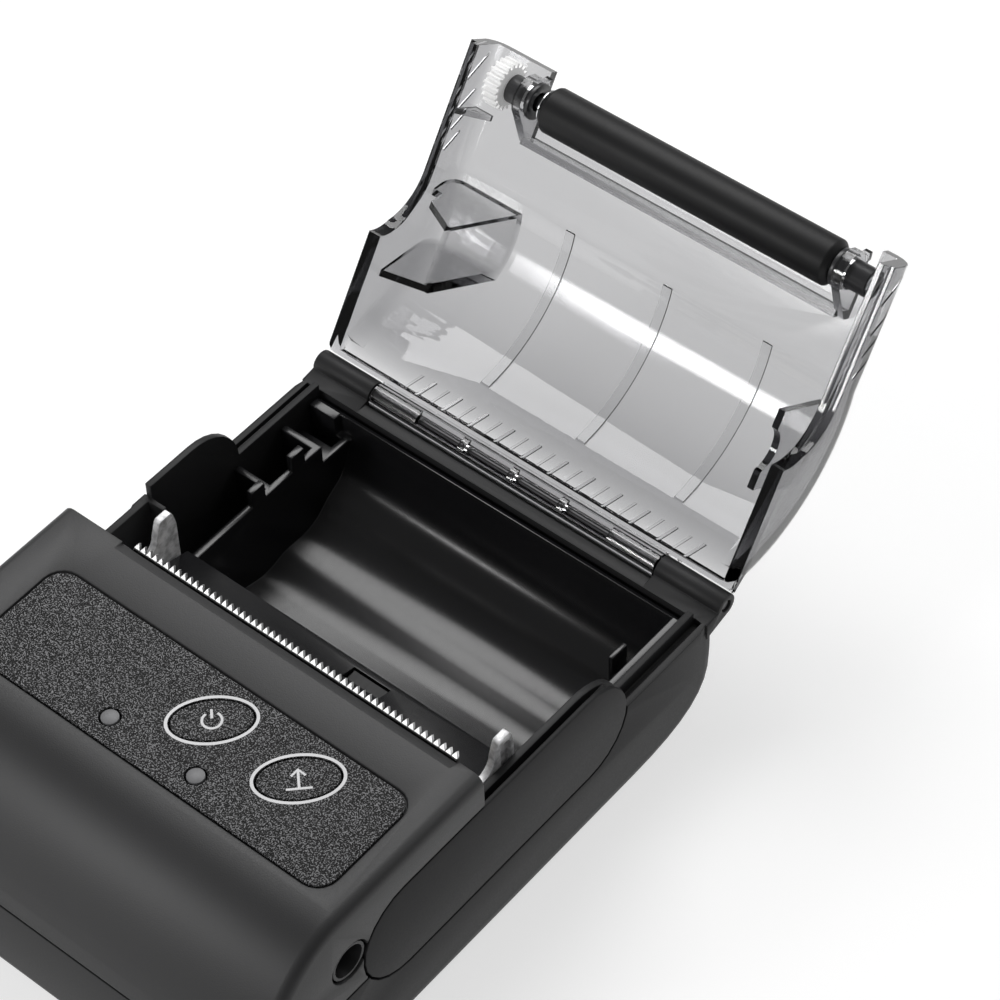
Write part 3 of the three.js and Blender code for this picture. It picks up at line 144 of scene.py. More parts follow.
class PrinterLabel(bpy.types.PropertyGroup):
    """Print on the two keys and round them"""

    ring_long: bpy.props.FloatProperty(
        name="Ring length", description="Half length of a printed ring", default=0.0064, unit="LENGTH")
    ring_short: bpy.props.FloatProperty(
        name="Ring width", description="Half width of a printed ring", default=0.0041, unit="LENGTH")
    ring_line: bpy.props.FloatProperty(
        name="Ring line", description="Thickness of the ring's line", default=0.00046, unit="LENGTH")
    turn: bpy.props.FloatProperty(
        name="Turn", description="Turn of the rings and signs on the label, in degrees", default=45.0)
    sign: bpy.props.FloatProperty(
        name="Sign", description="Half height of the signs on the keys", default=0.0016, unit="LENGTH")
    sign_line: bpy.props.FloatProperty(
        name="Sign line", description="Thickness of the signs' lines", default=0.0004, unit="LENGTH")
    film: bpy.props.FloatProperty(
        name="Film", description="Thickness of the print", default=0.00003, unit="LENGTH")


def finish_of(context):
    """The colours and edge sizes that the operators use."""
    return context.scene.printer_finish


# Materials

def node_maker(tree):
    """A function that adds a node to the tree and sets its values."""

    def node(kind, **values):
        made = tree.nodes.new(kind)
        for key, value in values.items():
            setattr(made, key, value)
        return made

    return node


def shader(name):
    """A new material with its node tree, its Principled node and its node maker."""
    material = bpy.data.materials.new(name)
    material.use_nodes = True
    tree = material.node_tree
    return material, tree, tree.nodes["Principled BSDF"], node_maker(tree)


def noise(tree, node, scale, detail=3.0, stretch=(1, 1, 1)):
    """Noise on object coordinates, scale in features per metre."""
    place = node("ShaderNodeTexCoord")
    mapping = node("ShaderNodeMapping")
    mapping.inputs["Scale"].default_value = stretch
    grain = node("ShaderNodeTexNoise")
    grain.inputs["Scale"].default_value = scale
    grain.inputs["Detail"].default_value = detail
    tree.links.new(place.outputs["Object"], mapping.inputs["Vector"])
    tree.links.new(mapping.outputs["Vector"], grain.inputs["Vector"])
    return grain


def ramp(tree, node, source, stops):
    """A colour ramp fed by source; stops are (place, colour)."""
    made = node("ShaderNodeValToRGB")
    elements = made.color_ramp.elements
    while len(elements) < len(stops):
        elements.new(0.5)
    for element, (place, colour) in zip(elements, stops):
        element.position = place
        element.color = (*colour, 1)
    tree.links.new(source, made.inputs["Fac"])
    return made


def bump(tree, node, principled, source, strength, depth):
    """Lets the source stand out of the surface as a fine relief."""
    made = node("ShaderNodeBump")
    made.inputs["Strength"].default_value = strength
    made.inputs["Distance"].default_value = depth
    tree.links.new(source, made.inputs["Height"])
    tree.links.new(made.outputs["Normal"], principled.inputs["Normal"])


def vary_gloss(tree, node, principled, source, low, high):
    """Lets the roughness run from low to high with the source."""
    made = node("ShaderNodeMapRange")
    made.inputs["To Min"].default_value = low
    made.inputs["To Max"].default_value = high
    tree.links.new(source, made.inputs["Value"])
    tree.links.new(made.outputs["Result"], principled.inputs["Roughness"])
    return made


def scaled(colour, factor):
    """The colour made darker or lighter by the factor."""
    return tuple(channel * factor for channel in colour)


def grained(name, colour, roughness, grain, depth, *, spread=0.15, metallic=0.0, stretch=(1, 1, 1), strength=0.5,
            gleam=0.5, drift=60):
    """A surface whose colour and gloss drift a little, over a fine grain.

    Grain and drift are in features per metre, depth is the height of the grain and gleam the specular level.
    """
    material, tree, principled, node = shader(name)
    cloud = noise(tree, node, drift, 2.0)
    tint = ramp(tree, node, cloud.outputs["Fac"], [
        (0.3, scaled(colour, 1 - spread)),
        (0.7, scaled(colour, 1 + spread)),
    ])
    tree.links.new(tint.outputs["Color"], principled.inputs["Base Color"])
    fine = noise(tree, node, grain, 3.0, stretch)
    vary_gloss(tree, node, principled, fine.outputs["Fac"], roughness * 0.85, min(1.0, roughness * 1.15))
    principled.inputs["Metallic"].default_value = metallic
    principled.inputs["Specular IOR Level"].default_value = gleam
    bump(tree, node, principled, fine.outputs["Fac"], strength, depth)
    return material


def textured_black(colour):
    """Fine spark-eroded texture on black moulded plastic."""
    return grained("textured_black", colour, 0.5, 5200, 0.00003, spread=0.08, strength=0.6)


def shaded_satin_black(name, colour, gleam):
    """The same plastic with less gloss and its colour painted a fifth darker, as painted shade low down on the case
    and on its sides.
    """
    return grained(name, scaled(colour, 0.8), 0.52, 4200, 0.00002, spread=0.08, strength=0.4, gleam=gleam)


def glossy_black(colour):
    """Polished black plastic with a faint waviness."""
    return grained("glossy_black", colour, 0.24, 900, 0.00002, spread=0.1, strength=0.12)


def speckled_film(colour):
    """Black overlay film with a coarse sparkling grain; its brightest flecks are painted glints, over the grain's
    own relief.
    """
    material, tree, principled, node = shader("speckled_film")
    fleck_and_glint = noise(tree, node, 5000, 0.6)
    # partly painted highlight: the two top stops, up to fourteen times the ground colour, paint the film's glints;
    # the darker flecks are its own grain
    tint = ramp(tree, node, fleck_and_glint.outputs["Fac"], [
        (0.4, scaled(colour, 0.1)),
        (0.5, scaled(colour, 0.6)),
        (0.56, scaled(colour, 4.5)),
        (0.63, scaled(colour, 14.0)),
    ])
    tree.links.new(tint.outputs["Color"], principled.inputs["Base Color"])
    principled.inputs["Roughness"].default_value = 0.55
    principled.inputs["Specular IOR Level"].default_value = 0.3
    bump(tree, node, principled, fleck_and_glint.outputs["Fac"], 1.0, 0.0002)
    return material


def printed_silver(colour):
    """Screen print on the label and the keys."""
    return grained("printed_silver", colour, 0.5, 3000, 0.00001, spread=0.08, strength=0.2)


def smoky_clear(colour, density):
    """Polished clear plastic, tinted grey all through, with faint flow marks."""
    material, tree, principled, node = shader("smoky_clear")
    principled.inputs["Base Color"].default_value = (0.97, 0.97, 0.97, 1)
    principled.inputs["Transmission Weight"].default_value = 1.0
    principled.inputs["IOR"].default_value = 1.49
    tint = node("ShaderNodeVolumeAbsorption")
    tint.inputs["Color"].default_value = (*colour, 1)
    tint.inputs["Density"].default_value = density
    tree.links.new(tint.outputs["Volume"], tree.nodes["Material Output"].inputs["Volume"])
    wear = noise(tree, node, 220, 4.0, (1, 3, 3))
    gloss = vary_gloss(tree, node, principled, wear.outputs["Fac"], 0.01, 0.06)
    gloss.inputs["From Min"].default_value = 0.3
    gloss.inputs["From Max"].default_value = 0.8
    bump(tree, node, principled, wear.outputs["Fac"], 0.03, 0.0001)
    return material


# Height of the teeth of the tear bar, and half the height of the blend between them and the painted shade at their
# root
TOOTH_RISE = 0.00076
TOOTH_BLEND = 0.00006


def ground_teeth(root):
    """A steel blade with painted shade: near black below the root of its teeth, its own bright steel on the teeth
    above.
    """
    material, tree, principled, node = shader("ground_teeth")
    place = node("ShaderNodeTexCoord")
    apart = node("ShaderNodeSeparateXYZ")
    above = node("ShaderNodeMapRange")
    above.inputs["From Min"].default_value = root - TOOTH_BLEND
    above.inputs["From Max"].default_value = root + TOOTH_BLEND
    tree.links.new(place.outputs["Object"], apart.inputs["Vector"])
    tree.links.new(apart.outputs["Z"], above.inputs["Value"])
    # painted shade: the band below the teeth is darkened to near black; the teeth keep the steel's light grey
    tint = ramp(tree, node, above.outputs["Result"], [(0.0, (0.02, 0.02, 0.02)), (1.0, (0.8, 0.8, 0.8))])
    tree.links.new(tint.outputs["Color"], principled.inputs["Base Color"])
    principled.inputs["Metallic"].default_value = 1.0
    marks = noise(tree, node, 1500, 3.0, (1, 6, 6))
    vary_gloss(tree, node, principled, marks.outputs["Fac"], 0.22, 0.4)
    bump(tree, node, principled, marks.outputs["Fac"], 0.15, 0.00001)
    return material


ACETAL = dict(colour=(0.9, 0.9, 0.895), roughness=0.38, grain=1500, depth=0.00001, spread=0.03, strength=0.15)


def lit_acetal(lift):
    """White acetal inside the clear cover, with a painted glow: an emission that stands in for the light which the
    clear cover keeps off it.
    """
    material = grained("lit_acetal", **ACETAL)
    principled = material.node_tree.nodes["Principled BSDF"]
    # painted light: the gear glows though it is no lamp
    principled.inputs["Emission Color"].default_value = (1, 1, 1, 1)
    principled.inputs["Emission Strength"].default_value = lift
    return material


# The plain grained surfaces: the record's slot or the finish, the material's name and its values
SURFACES = {
    "roller_rubber": ("ground_rubber", dict(
        colour=(0.007, 0.007, 0.0075), roughness=0.5, grain=900, depth=0.00002, spread=0.2,
        stretch=(6, 1, 1), strength=0.35, gleam=0.3)),
    "bright_steel": ("bright_steel", dict(
        colour=(0.74, 0.75, 0.76), roughness=0.2, grain=1600, depth=0.00001, spread=0.06,
        metallic=1.0, stretch=(1, 1, 5), strength=0.15)),
    "dull_steel": ("dull_steel", dict(
        colour=(0.42, 0.43, 0.44), roughness=0.38, grain=1200, depth=0.00002, spread=0.12,
        metallic=1.0, stretch=(6, 1, 1), strength=0.2)),
    "tumbled_steel": ("tumbled_steel", dict(
        colour=(0.8, 0.8, 0.81), roughness=0.46, grain=700, depth=0.00008, spread=0.4,
        metallic=0.3, strength=0.8, drift=800)),
    "blackened_steel": ("blackened_steel", dict(
        colour=(0.07, 0.07, 0.072), roughness=0.3, grain=1200, depth=0.00001, spread=0.1,
        metallic=1.0, stretch=(6, 1, 1), strength=0.1)),
    "gear_white": ("white_acetal", ACETAL),
    "bush_grey": ("grey_acetal", dict(
        colour=(0.03, 0.03, 0.032), roughness=0.32, grain=1500, depth=0.00001, spread=0.1, strength=0.15)),
    "lamp_grey": ("milky_lamp", dict(
        colour=(0.15, 0.15, 0.156), roughness=0.42, grain=1800, depth=0.00001, spread=0.06, strength=0.15)),
    "board_green": ("solder_mask", dict(
        colour=(0.012, 0.09, 0.04), roughness=0.35, grain=700, depth=0.00002, spread=0.25, strength=0.3)),
    "chip_black": ("moulded_resin", dict(
        colour=(0.012, 0.012, 0.013), roughness=0.45, grain=2600, depth=0.00002, strength=0.4)),
    "head_ceramic": ("glazed_ceramic", dict(
        colour=(0.6, 0.56, 0.49), roughness=0.2, grain=800, depth=0.00001, spread=0.06, strength=0.1)),
    "heat_sink_metal": ("cast_metal", dict(
        colour=(0.5, 0.51, 0.52), roughness=0.42, grain=1400, depth=0.00003, spread=0.1,
        metallic=1.0, strength=0.35)),
    "flex_film": ("amber_film", dict(
        colour=(0.42, 0.17, 0.03), roughness=0.25, grain=600, depth=0.00001, spread=0.1, strength=0.1)),
    "battery_wrap": ("blue_wrap", dict(
        colour=(0.025, 0.06, 0.22), roughness=0.3, grain=260, depth=0.00005, spread=0.12, strength=0.2)),
}
FINISHES = {}


def make_finishes(finish):
    """The materials, by the record's slot names and by the names of the special finishes."""
    for key, (name, values) in SURFACES.items():
        FINISHES[key] = grained(name, **values)
    FINISHES.update({
        "case_plastic": textured_black(finish.case),
        # painted shade: darker, duller copies of the case plastic for the low case and the side panels
        "satin_case": shaded_satin_black("satin_case", finish.case, 0.3),
        "satin_panel": shaded_satin_black("satin_panel", finish.case, 0.18),
        "bin_plastic": glossy_black(finish.bin),
        "label_film": speckled_film(finish.label),
        "print": printed_silver(finish.print),
        "clear_smoke": smoky_clear(finish.smoke, finish.smoke_density),
        # painted light: white acetal that glows, for the roller's gear
        "lit_acetal": lit_acetal(finish.painted_gear_glow),
        # painted shade on the root band of the tear bar
        "ground_teeth": ground_teeth(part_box("tear_bar")[1].z - TOOTH_RISE),
    })


# Modelling helpers

# Angles in degrees, distances in metres
EDGE_ANGLE = 38
FLAT_ANGLE = 0.4
CAD_MERGE = 0.000002
OWN_MERGE = 0.000001


def only(piece):
    """Makes piece the one selected and active object."""
    if bpy.context.mode != "OBJECT":
        bpy.ops.object.mode_set(mode="OBJECT")
    bpy.ops.object.select_all(action="DESELECT")
    piece.select_set(True)
    bpy.context.view_layer.objects.active = piece


def slot_of(node):
    """The record's material slot of a CAD node."""
    rows = frame["record"]["subparts"]
    return next(row["material_slot"] for row in rows if row["node"] == node)


def body_of(node):
    """The moving body that a CAD node belongs to."""
    bodies = frame["record"]["behaviour"]["bodies"]
    return next(name for name, members in bodies.items() if node in members)


def paint(piece, finish):
    """Gives the whole piece one finish, by its name or by a slot of the record."""
    piece.data.materials.clear()
    piece.data.materials.append(FINISHES[finish])


def apply_modifiers(piece):
    """Makes the piece's modifiers part of its mesh."""
    only(piece)
    for modifier in list(piece.modifiers):
        bpy.ops.object.modifier_apply(modifier=modifier.name)


def soften(piece, width, segments=2, angle=EDGE_ANGLE):
    """Rounds the sharp edges and shades the rest smooth."""
    if width:
        made = piece.modifiers.new("edges", "BEVEL")
        made.width = width
        made.segments = segments
        made.limit_method = "ANGLE"
        made.angle_limit = math.radians(angle)
        made.use_clamp_overlap = False
        apply_modifiers(piece)
    only(piece)
    bpy.ops.object.shade_smooth_by_angle(angle=math.radians(angle))
    return piece


def merged_copy(node, name):
    """A copy of a CAD node with its loose triangles merged and its flat faces made whole."""
    source = frame["nodes"][node]
    piece = source.copy()
    piece.data = source.data.copy()
    piece.name = piece.data.name = name
    for key in [key for key in piece.keys() if key.startswith("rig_")]:
        del piece[key]
    piece.parent = None
    bpy.context.scene.collection.objects.link(piece)
    only(piece)
    bpy.ops.object.mode_set(mode="EDIT")
    bpy.ops.mesh.select_all(action="SELECT")
    bpy.ops.mesh.remove_doubles(threshold=CAD_MERGE)
    bpy.ops.mesh.dissolve_limited(angle_limit=math.radians(FLAT_ANGLE))
    bpy.ops.object.mode_set(mode="OBJECT")
    bpy.ops.mesh.customdata_custom_splitnormals_clear()
    return piece


def dressed(node, width, segments=2, angle=EDGE_ANGLE, finish=None):
    """A finished piece that stands for one CAD node, in the finish of its slot or in another."""
    piece = merged_copy(node, f"{node}_dressed")
    soften(piece, width, segments, angle)
    paint(piece, finish or slot_of(node))
    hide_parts(node)
    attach(piece, body_of(node))
    return piece


def painted_in_place(*nodes):
    """CAD nodes whose own shape is right keep it and take their finish."""
    for node in nodes:
        paint(frame["nodes"][node], slot_of(node))


def settle(piece, body, slot, finish=None):
    """Moves a new piece's place into its mesh, paints it and lets it ride."""
    only(piece)
    bpy.ops.object.transform_apply(location=True, rotation=True, scale=True)
    paint(piece, finish or slot)
    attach(piece, body)


def closed_up(piece):
    """Merges doubles and turns all faces outwards."""
    only(piece)
    bpy.ops.object.mode_set(mode="EDIT")
    bpy.ops.mesh.select_all(action="SELECT")
    bpy.ops.mesh.remove_doubles(threshold=OWN_MERGE)
    bpy.ops.mesh.normals_make_consistent(inside=False)
    bpy.ops.object.mode_set(mode="OBJECT")
    return piece


def slab(name, outline, offset):
    """A plate with a drawn outline, extruded by offset."""
    bpy.ops.object.select_all(action="DESELECT")
    bpy.ops.mesh.primitive_circle_add(vertices=len(outline), radius=0.01, fill_type="NGON")
    piece = bpy.context.object
    piece.name = piece.data.name = name
    for vertex, place in zip(piece.data.vertices, outline):
        vertex.co = place
    bpy.ops.object.mode_set(mode="EDIT")
    bpy.ops.mesh.select_all(action="SELECT")
    bpy.ops.mesh.extrude_region_move(TRANSFORM_OT_translate={"value": offset})
    bpy.ops.object.mode_set(mode="OBJECT")
    return closed_up(piece)


def flat_ring(name, vertices, radius, hole, offset, location, rotation=(0, 0, 0)):
    """A flat ring: a circle, its copy scaled by hole, and the band between them extruded by offset."""
    bpy.ops.object.select_all(action="DESELECT")
    bpy.ops.mesh.primitive_circle_add(vertices=vertices, radius=radius, fill_type="NOTHING", location=location,
                                      rotation=rotation)
    ring = bpy.context.object
    ring.name = ring.data.name = name
    bpy.ops.object.mode_set(mode="EDIT")
    bpy.ops.mesh.select_all(action="SELECT")
    bpy.ops.mesh.extrude_edges_move()
    bpy.ops.transform.resize(value=hole)
    bpy.ops.mesh.select_all(action="SELECT")
    bpy.ops.mesh.extrude_region_move(TRANSFORM_OT_translate={"value": offset})
    bpy.ops.mesh.select_all(action="SELECT")
    bpy.ops.mesh.normals_make_consistent(inside=False)
    bpy.ops.object.mode_set(mode="OBJECT")
    return ring


def joined(pieces, name):
    """The pieces as one object."""
    only(pieces[0])
    for piece in pieces:
        piece.select_set(True)
    bpy.ops.object.join()
    bpy.context.object.name = name
    return bpy.context.object


def combine(body, tool, operation):
    """Adds the tool to the body or takes it away, and removes the tool."""
    made = body.modifiers.new("shape", "BOOLEAN")
    made.object = tool
    made.operation = operation
    made.solver = "EXACT"
    made.use_self = True
    apply_modifiers(body)
    bpy.data.objects.remove(tool, do_unlink=True)


# Pieces

# Sections along the case's width, as places of y and z in metres
BIN_RELIEF = ((0.04275, 0.01957), (0.0443, 0.01957), (0.0443, 0.0183))
HINGE_SILL = (
    (0.0459, 0.0179), (0.0459, 0.01825), (0.0474, 0.01825),
    (0.0483, 0.018), (0.0483, 0.0174), (0.0472, 0.0171),
)
BIN_HALF = 0.0345
SILL_LEFT = -0.0275
SILL_LENGTH = 0.0542
LIP_RUN = 0.0017
LIP_SLACK = 0.00004


def beam(name, section, left, length):
    """A straight bar along the case's width."""
    return slab(name, [Vector((left, *place)) for place in section], (length, 0, 0))


def mark_lip(piece):
    """Keeps the shallow fold sharp where the deck falls away towards the tear bar."""
    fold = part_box("front_cover")[1].y - LIP_RUN
    places = [vertex.co for vertex in piece.data.vertices]
    for edge in piece.data.edges:
        if all(abs(places[i].y - fold) < LIP_SLACK for i in edge.vertices):
            edge.use_edge_sharp = True


class PRINTER_OT_case(bpy.types.Operator):
    """Rounds and paints the lower case, the front cover and the oval side panels"""

    bl_idname = "printer.case"
    bl_label = "Case"

    def execute(self, context):
        edge = finish_of(context).edge
        mark_lip(dressed("front_cover", edge))
        lower = dressed("bottom_case", edge * 0.5)
        combine(lower, beam("hinge_sill", HINGE_SILL, SILL_LEFT, SILL_LENGTH), "UNION")
        soften(lower, 0)
        # painted shade: the lower case takes the darker copy of the case plastic
        paint(lower, "satin_case")
        for side in ("left", "right"):
            # painted shade: the side panels take a darker copy too
            dressed(f"{side}_side_panel", edge, finish="satin_panel")
        dressed("battery_door", edge)
        return {"FINISHED"}


class PRINTER_OT_bin(bpy.types.Operator):
    """Rounds and paints the glossy paper bin"""

    bl_idname = "printer.bin"
    bl_label = "Paper bin"

    def execute(self, context):
        trough = dressed("paper_bin", finish_of(context).edge * 0.8)
        combine(trough, beam("bin_rim_relief", BIN_RELIEF, -BIN_HALF, 2 * BIN_HALF), "DIFFERENCE")
        soften(trough, 0)
        return {"FINISHED"}


class PRINTER_OT_mechanism(bpy.types.Operator):
    """Finishes the tear bar, the latch forks, the frame and what it carries"""

    bl_idname = "printer.mechanism"
    bl_label = "Print mechanism"

    def execute(self, context):
        edge = finish_of(context).fine_edge
        # painted shade on the root band of the tear bar
        dressed("tear_bar", edge * 0.6, 1, finish="ground_teeth")
        for side in ("left", "right"):
            dressed(f"{side}_latch_fork", edge * 1.5, finish="tumbled_steel")
        dressed("mechanism_frame", edge)
        dressed("stepper_motor", edge)
        painted_in_place("print_head", "heat_sink", "head_spring", "motor_pinion", "reduction_gear",
                         "idler_gear", "head_flex_cable")
        paint(frame["nodes"]["hinge_pin"], "blackened_steel")
        paint(frame["nodes"]["paper_sensor"], "roller_rubber")
        return {"FINISHED"}


class PRINTER_OT_electronics(bpy.types.Operator):
    """Finishes the board, the battery and the power socket"""

    bl_idname = "printer.electronics"
    bl_label = "Electronics"

    def execute(self, context):
        dressed("dc_jack", finish_of(context).fine_edge)
        dressed("battery_pack", finish_of(context).edge)
        painted_in_place("main_board", "controller_chip", "radio_module", "power_switch", "feed_switch",
                         "battery_connector")
        return {"FINISHED"}


class PRINTER_OT_fasteners(bpy.types.Operator):
    """Finishes the four case screws"""

    bl_idname = "printer.fasteners"
    bl_label = "Screws"

    def execute(self, context):
        for end in ("front", "rear"):
            for side in ("left", "right"):
                dressed(f"case_screw_{end}_{side}", finish_of(context).fine_edge)
        return {"FINISHED"}


def printed_ring(name, centre, settings):
    """A flat printed oval line round a key."""
    inner = [(half - settings.ring_line) / half for half in (settings.ring_long, settings.ring_short)]
    ring = flat_ring(name, 72, 1, (*inner, 1), (0, 0, settings.film), (0, 0, 0))
    ring.scale = (settings.ring_long, settings.ring_short, 1)
    ring.rotation_euler = (0, 0, math.radians(settings.turn))
    ring.location = centre
    return ring


def printed_line(name, points, centre, settings):
    """A flat printed line through points, in shares of the sign's half height."""
    curve = bpy.data.curves.new(name, "CURVE")
    curve.dimensions = "3D"
    spline = curve.splines.new("POLY")
    spline.points.add(len(points) - 1)
    for place, (x, y) in zip(spline.points, points):
        place.co = (x * settings.sign, y * settings.sign, 0, 1)
    curve.bevel_depth = settings.sign_line / 2
    curve.bevel_resolution = 2
    curve.use_fill_caps = True
    piece = bpy.data.objects.new(name, curve)
    bpy.context.scene.collection.objects.link(piece)
    only(piece)
    bpy.ops.object.convert(target="MESH")
    piece = bpy.context.object
    piece.scale = (1, 1, settings.film / settings.sign_line)
    bpy.ops.object.transform_apply(location=False, rotation=False, scale=True)
    piece.rotation_euler = (0, 0, math.radians(settings.turn))
    piece.location = centre
    return piece


def round_line(radius, start, end, steps=18):
    """Points along an arc, angles in degrees."""
    turns = [math.radians(start + (end - start) * i / steps) for i in range(steps + 1)]
    return [(radius * math.cos(a), radius * math.sin(a)) for a in turns]


# The signs' lines, in shares of their half height
STANDBY_SIGN = [
    round_line(0.85, 125, 415),
    [(0, 0.2), (0, 1.15)],
]
FEED_SIGN = [
    [(0, -0.9), (0, 0.85)],
    [(-0.6, 0.3), (0, 0.95), (0.6, 0.3)],
    [(-1.1, -1.0), (1.1, -1.0)],
]


class PRINTER_OT_label(bpy.types.Operator):
    """Finishes the label, its keys and lamps, and prints the rings and the two plain signs"""

    bl_idname = "printer.label"
    bl_label = "Control label"

    def execute(self, context):
        settings = context.scene.printer_label
        edge = finish_of(context).fine_edge
        for node in ("control_label", "power_button", "feed_button", "power_light_pipe", "status_light_pipe"):
            dressed(node, edge)
        signs = {"power_button": STANDBY_SIGN, "feed_button": FEED_SIGN}
        label_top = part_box("control_label")[1].z
        for key, sign in signs.items():
            low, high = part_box(key)
            middle = (low + high) / 2
            ring = printed_ring(f"{key}_ring", (middle.x, middle.y, label_top), settings)
            settle(ring, "case", "label_film", "print")
            for number, line in enumerate(sign):
                stroke = printed_line(f"{key}_sign_{number}", line, (middle.x, middle.y, high.z), settings)
                settle(stroke, body_of(key), "label_film", "print")
        return {"FINISHED"}


JOINTS = frame["record"]["behaviour"]["joints"]
HINGE = next(Vector(row["pos_m"]) for row in JOINTS if row["name"] == "cover_hinge")
COVER_TURN = 124
LEAN = math.radians(180 - COVER_TURN)
REACH = Vector((0, math.cos(LEAN), math.sin(LEAN)))
RISE = Vector((0, math.sin(LEAN), -math.cos(LEAN)))

# Places on the cover in millimetres: across, reach from the hinge and rise
DOME_CENTRE = (26.0, -7.8)
DOME_RADIUS = 22.5
DOME_FOOT = 5.4
DOME_END = 40.9
PLATE_INSIDE = 13.8
SIDE_INSIDE = 35.9
SIDE_OUTSIDE = 38.2
SUNK = 0.4
STRAP_MIDDLE = 5.3
GUSSET_FIRST = -24.4
GUSSET_COUNT = 22
GUSSET_LEAN = 1.7
WEB_REACH = 41.2
WEB_RIGHT = -32.6
HOOK_PLACES = (-26.0, 31.2)
HOOK_LINE = ((49.6, 12.0), (50.4, 13.6), (51.6, 13.2), (51.2, 11.6))
GRIP_LINES = (
    ((46.3, 10.0), (50.3, 13.4)),
    ((41.6, 10.4), (44.6, 13.2)),
    ((38.2, 10.4), (41.2, 13.2)),
    ((34.8, 10.4), (37.8, 13.2)),
)

# Angles in degrees and the length in metres from which an edge of the cover is rounded
COVER_SMOOTH = 25
RIM_SHARP = 55
RIM_SHORTEST = 0.0012


def on_cover(x, reach, rise):
    """A place on the open cover, from millimetres across, out from the hinge and up."""
    return HINGE + Vector((x * MM, 0, 0)) + REACH * (reach * MM) + RISE * (rise * MM)


def dome_line(inset=0.0, steps=24):
    """Points of reach and rise along the inside of the dome, from its foot to the plate."""
    radius = DOME_RADIUS - inset
    low = math.asin((DOME_FOOT - DOME_CENTRE[1]) / radius)
    high = math.pi - math.asin((PLATE_INSIDE - DOME_CENTRE[1]) / DOME_RADIUS)
    turns = [low + (high - low) * i / steps for i in range(steps + 1)]
    return [(DOME_CENTRE[0] - radius * math.cos(a), DOME_CENTRE[1] + radius * math.sin(a)) for a in turns]


def strap(name, x, sizes):
    """A raised band along the dome that steadies the paper."""
    sunk, proud = dome_line(-SUNK), dome_line(sizes.strap_height / MM)
    outline = [on_cover(x, *place) for place in sunk + proud[::-1]]
    return slab(name, outline, (sizes.strap_width, 0, 0))


def gusset(name, x, proud, sizes):
    """A small slanting web from the hinge barrel onto the ledge."""
    low, high = (1.6, 1.0), (5.0, 3.3)
    outline = [on_cover(x, *low), on_cover(x + GUSSET_LEAN, *high),
               on_cover(x + GUSSET_LEAN, high[0] + 0.3 * proud, high[1] - 0.4 * proud),
               on_cover(x, low[0] + 0.6 * proud, low[1] - 0.8 * proud)]
    return slab(name, outline, (sizes.gusset_thickness, 0, 0))


def corner_round(name, side, sizes):
    """Fills the corner between the dome and one side with a hollow round."""
    radius = sizes.corner / MM
    arc = [math.radians(270 - 15 * i) for i in range(7)]
    hollow = [(radius + radius * math.cos(a), radius + radius * math.sin(a)) for a in arc]
    section = [(-SUNK, -SUNK), (radius, -SUNK), *hollow, (-SUNK, radius)]
    stations = [((4.2, 2.6), (0.61, -0.79))]
    for reach, rise in dome_line():
        inward = Vector((DOME_CENTRE[0] - reach, DOME_CENTRE[1] - rise)).normalized()
        stations.append(((reach, rise), tuple(inward)))
    stations.append(((DOME_END, PLATE_INSIDE), (0, -1)))
    vertices, faces = [], []
    for (reach, rise), (out, down) in stations:
        for across, deep in section:
            vertices.append(on_cover(side * (SIDE_INSIDE - across), reach + out * deep, rise + down * deep))
    count = len(section)
    for ring in range(len(stations) - 1):
        for i in range(count):
            j = (i + 1) % count
            faces.append([ring * count + i, ring * count + j, (ring + 1) * count + j, (ring + 1) * count + i])
    faces.append(list(range(count)))
    faces.append([(len(stations) - 1) * count + i for i in range(count)])
    mesh = bpy.data.meshes.new(name)
    mesh.from_pydata(vertices, [], faces)
    piece = bpy.data.objects.new(name, mesh)
    bpy.context.scene.collection.objects.link(piece)
    return closed_up(piece)


def round_rims(piece, width):
    """Rounds the long outward edges of the two sides of the cover, and no others."""
    mesh = piece.data
    sides = {}
    for face in mesh.polygons:
        for key in face.edge_keys:
            sides.setdefault(key, []).append(face)
    weights = mesh.attributes.new("bevel_weight_edge", "FLOAT", "EDGE")
    for edge in mesh.edges:
        faces = sides.get(tuple(sorted(edge.vertices)), ())
        ends = [mesh.vertices[i].co for i in edge.vertices]
        if len(faces) != 2 or min(abs(end.x) for end in ends) < (SIDE_INSIDE - 0.05) * MM:
            continue
        first, second = faces
        outward = (second.center - first.center).dot(first.normal) < 0
        sharp = first.normal.angle(second.normal) > math.radians(RIM_SHARP)
        if outward and sharp and (ends[0] - ends[1]).length > RIM_SHORTEST:
            weights.data[edge.index].value = 1
    made = piece.modifiers.new("rims", "BEVEL")
    made.width = width
    made.segments = 2
    made.limit_method = "WEIGHT"
    made.use_clamp_overlap = False
    apply_modifiers(piece)


def grip_groove(name, side, low, high, sizes):
    """A slanting groove in one side of the cover."""
    half = sizes.groove / MM / 2
    outer = side * SIDE_OUTSIDE
    outline = [on_cover(outer, low[0] - half, low[1] + half), on_cover(outer, low[0] + half, low[1] - half),
               on_cover(outer, high[0] + half, high[1] - half), on_cover(outer, high[0] - half, high[1] + half)]
    return slab(name, outline, (-side * (sizes.groove + 0.2 * MM), 0, 0))


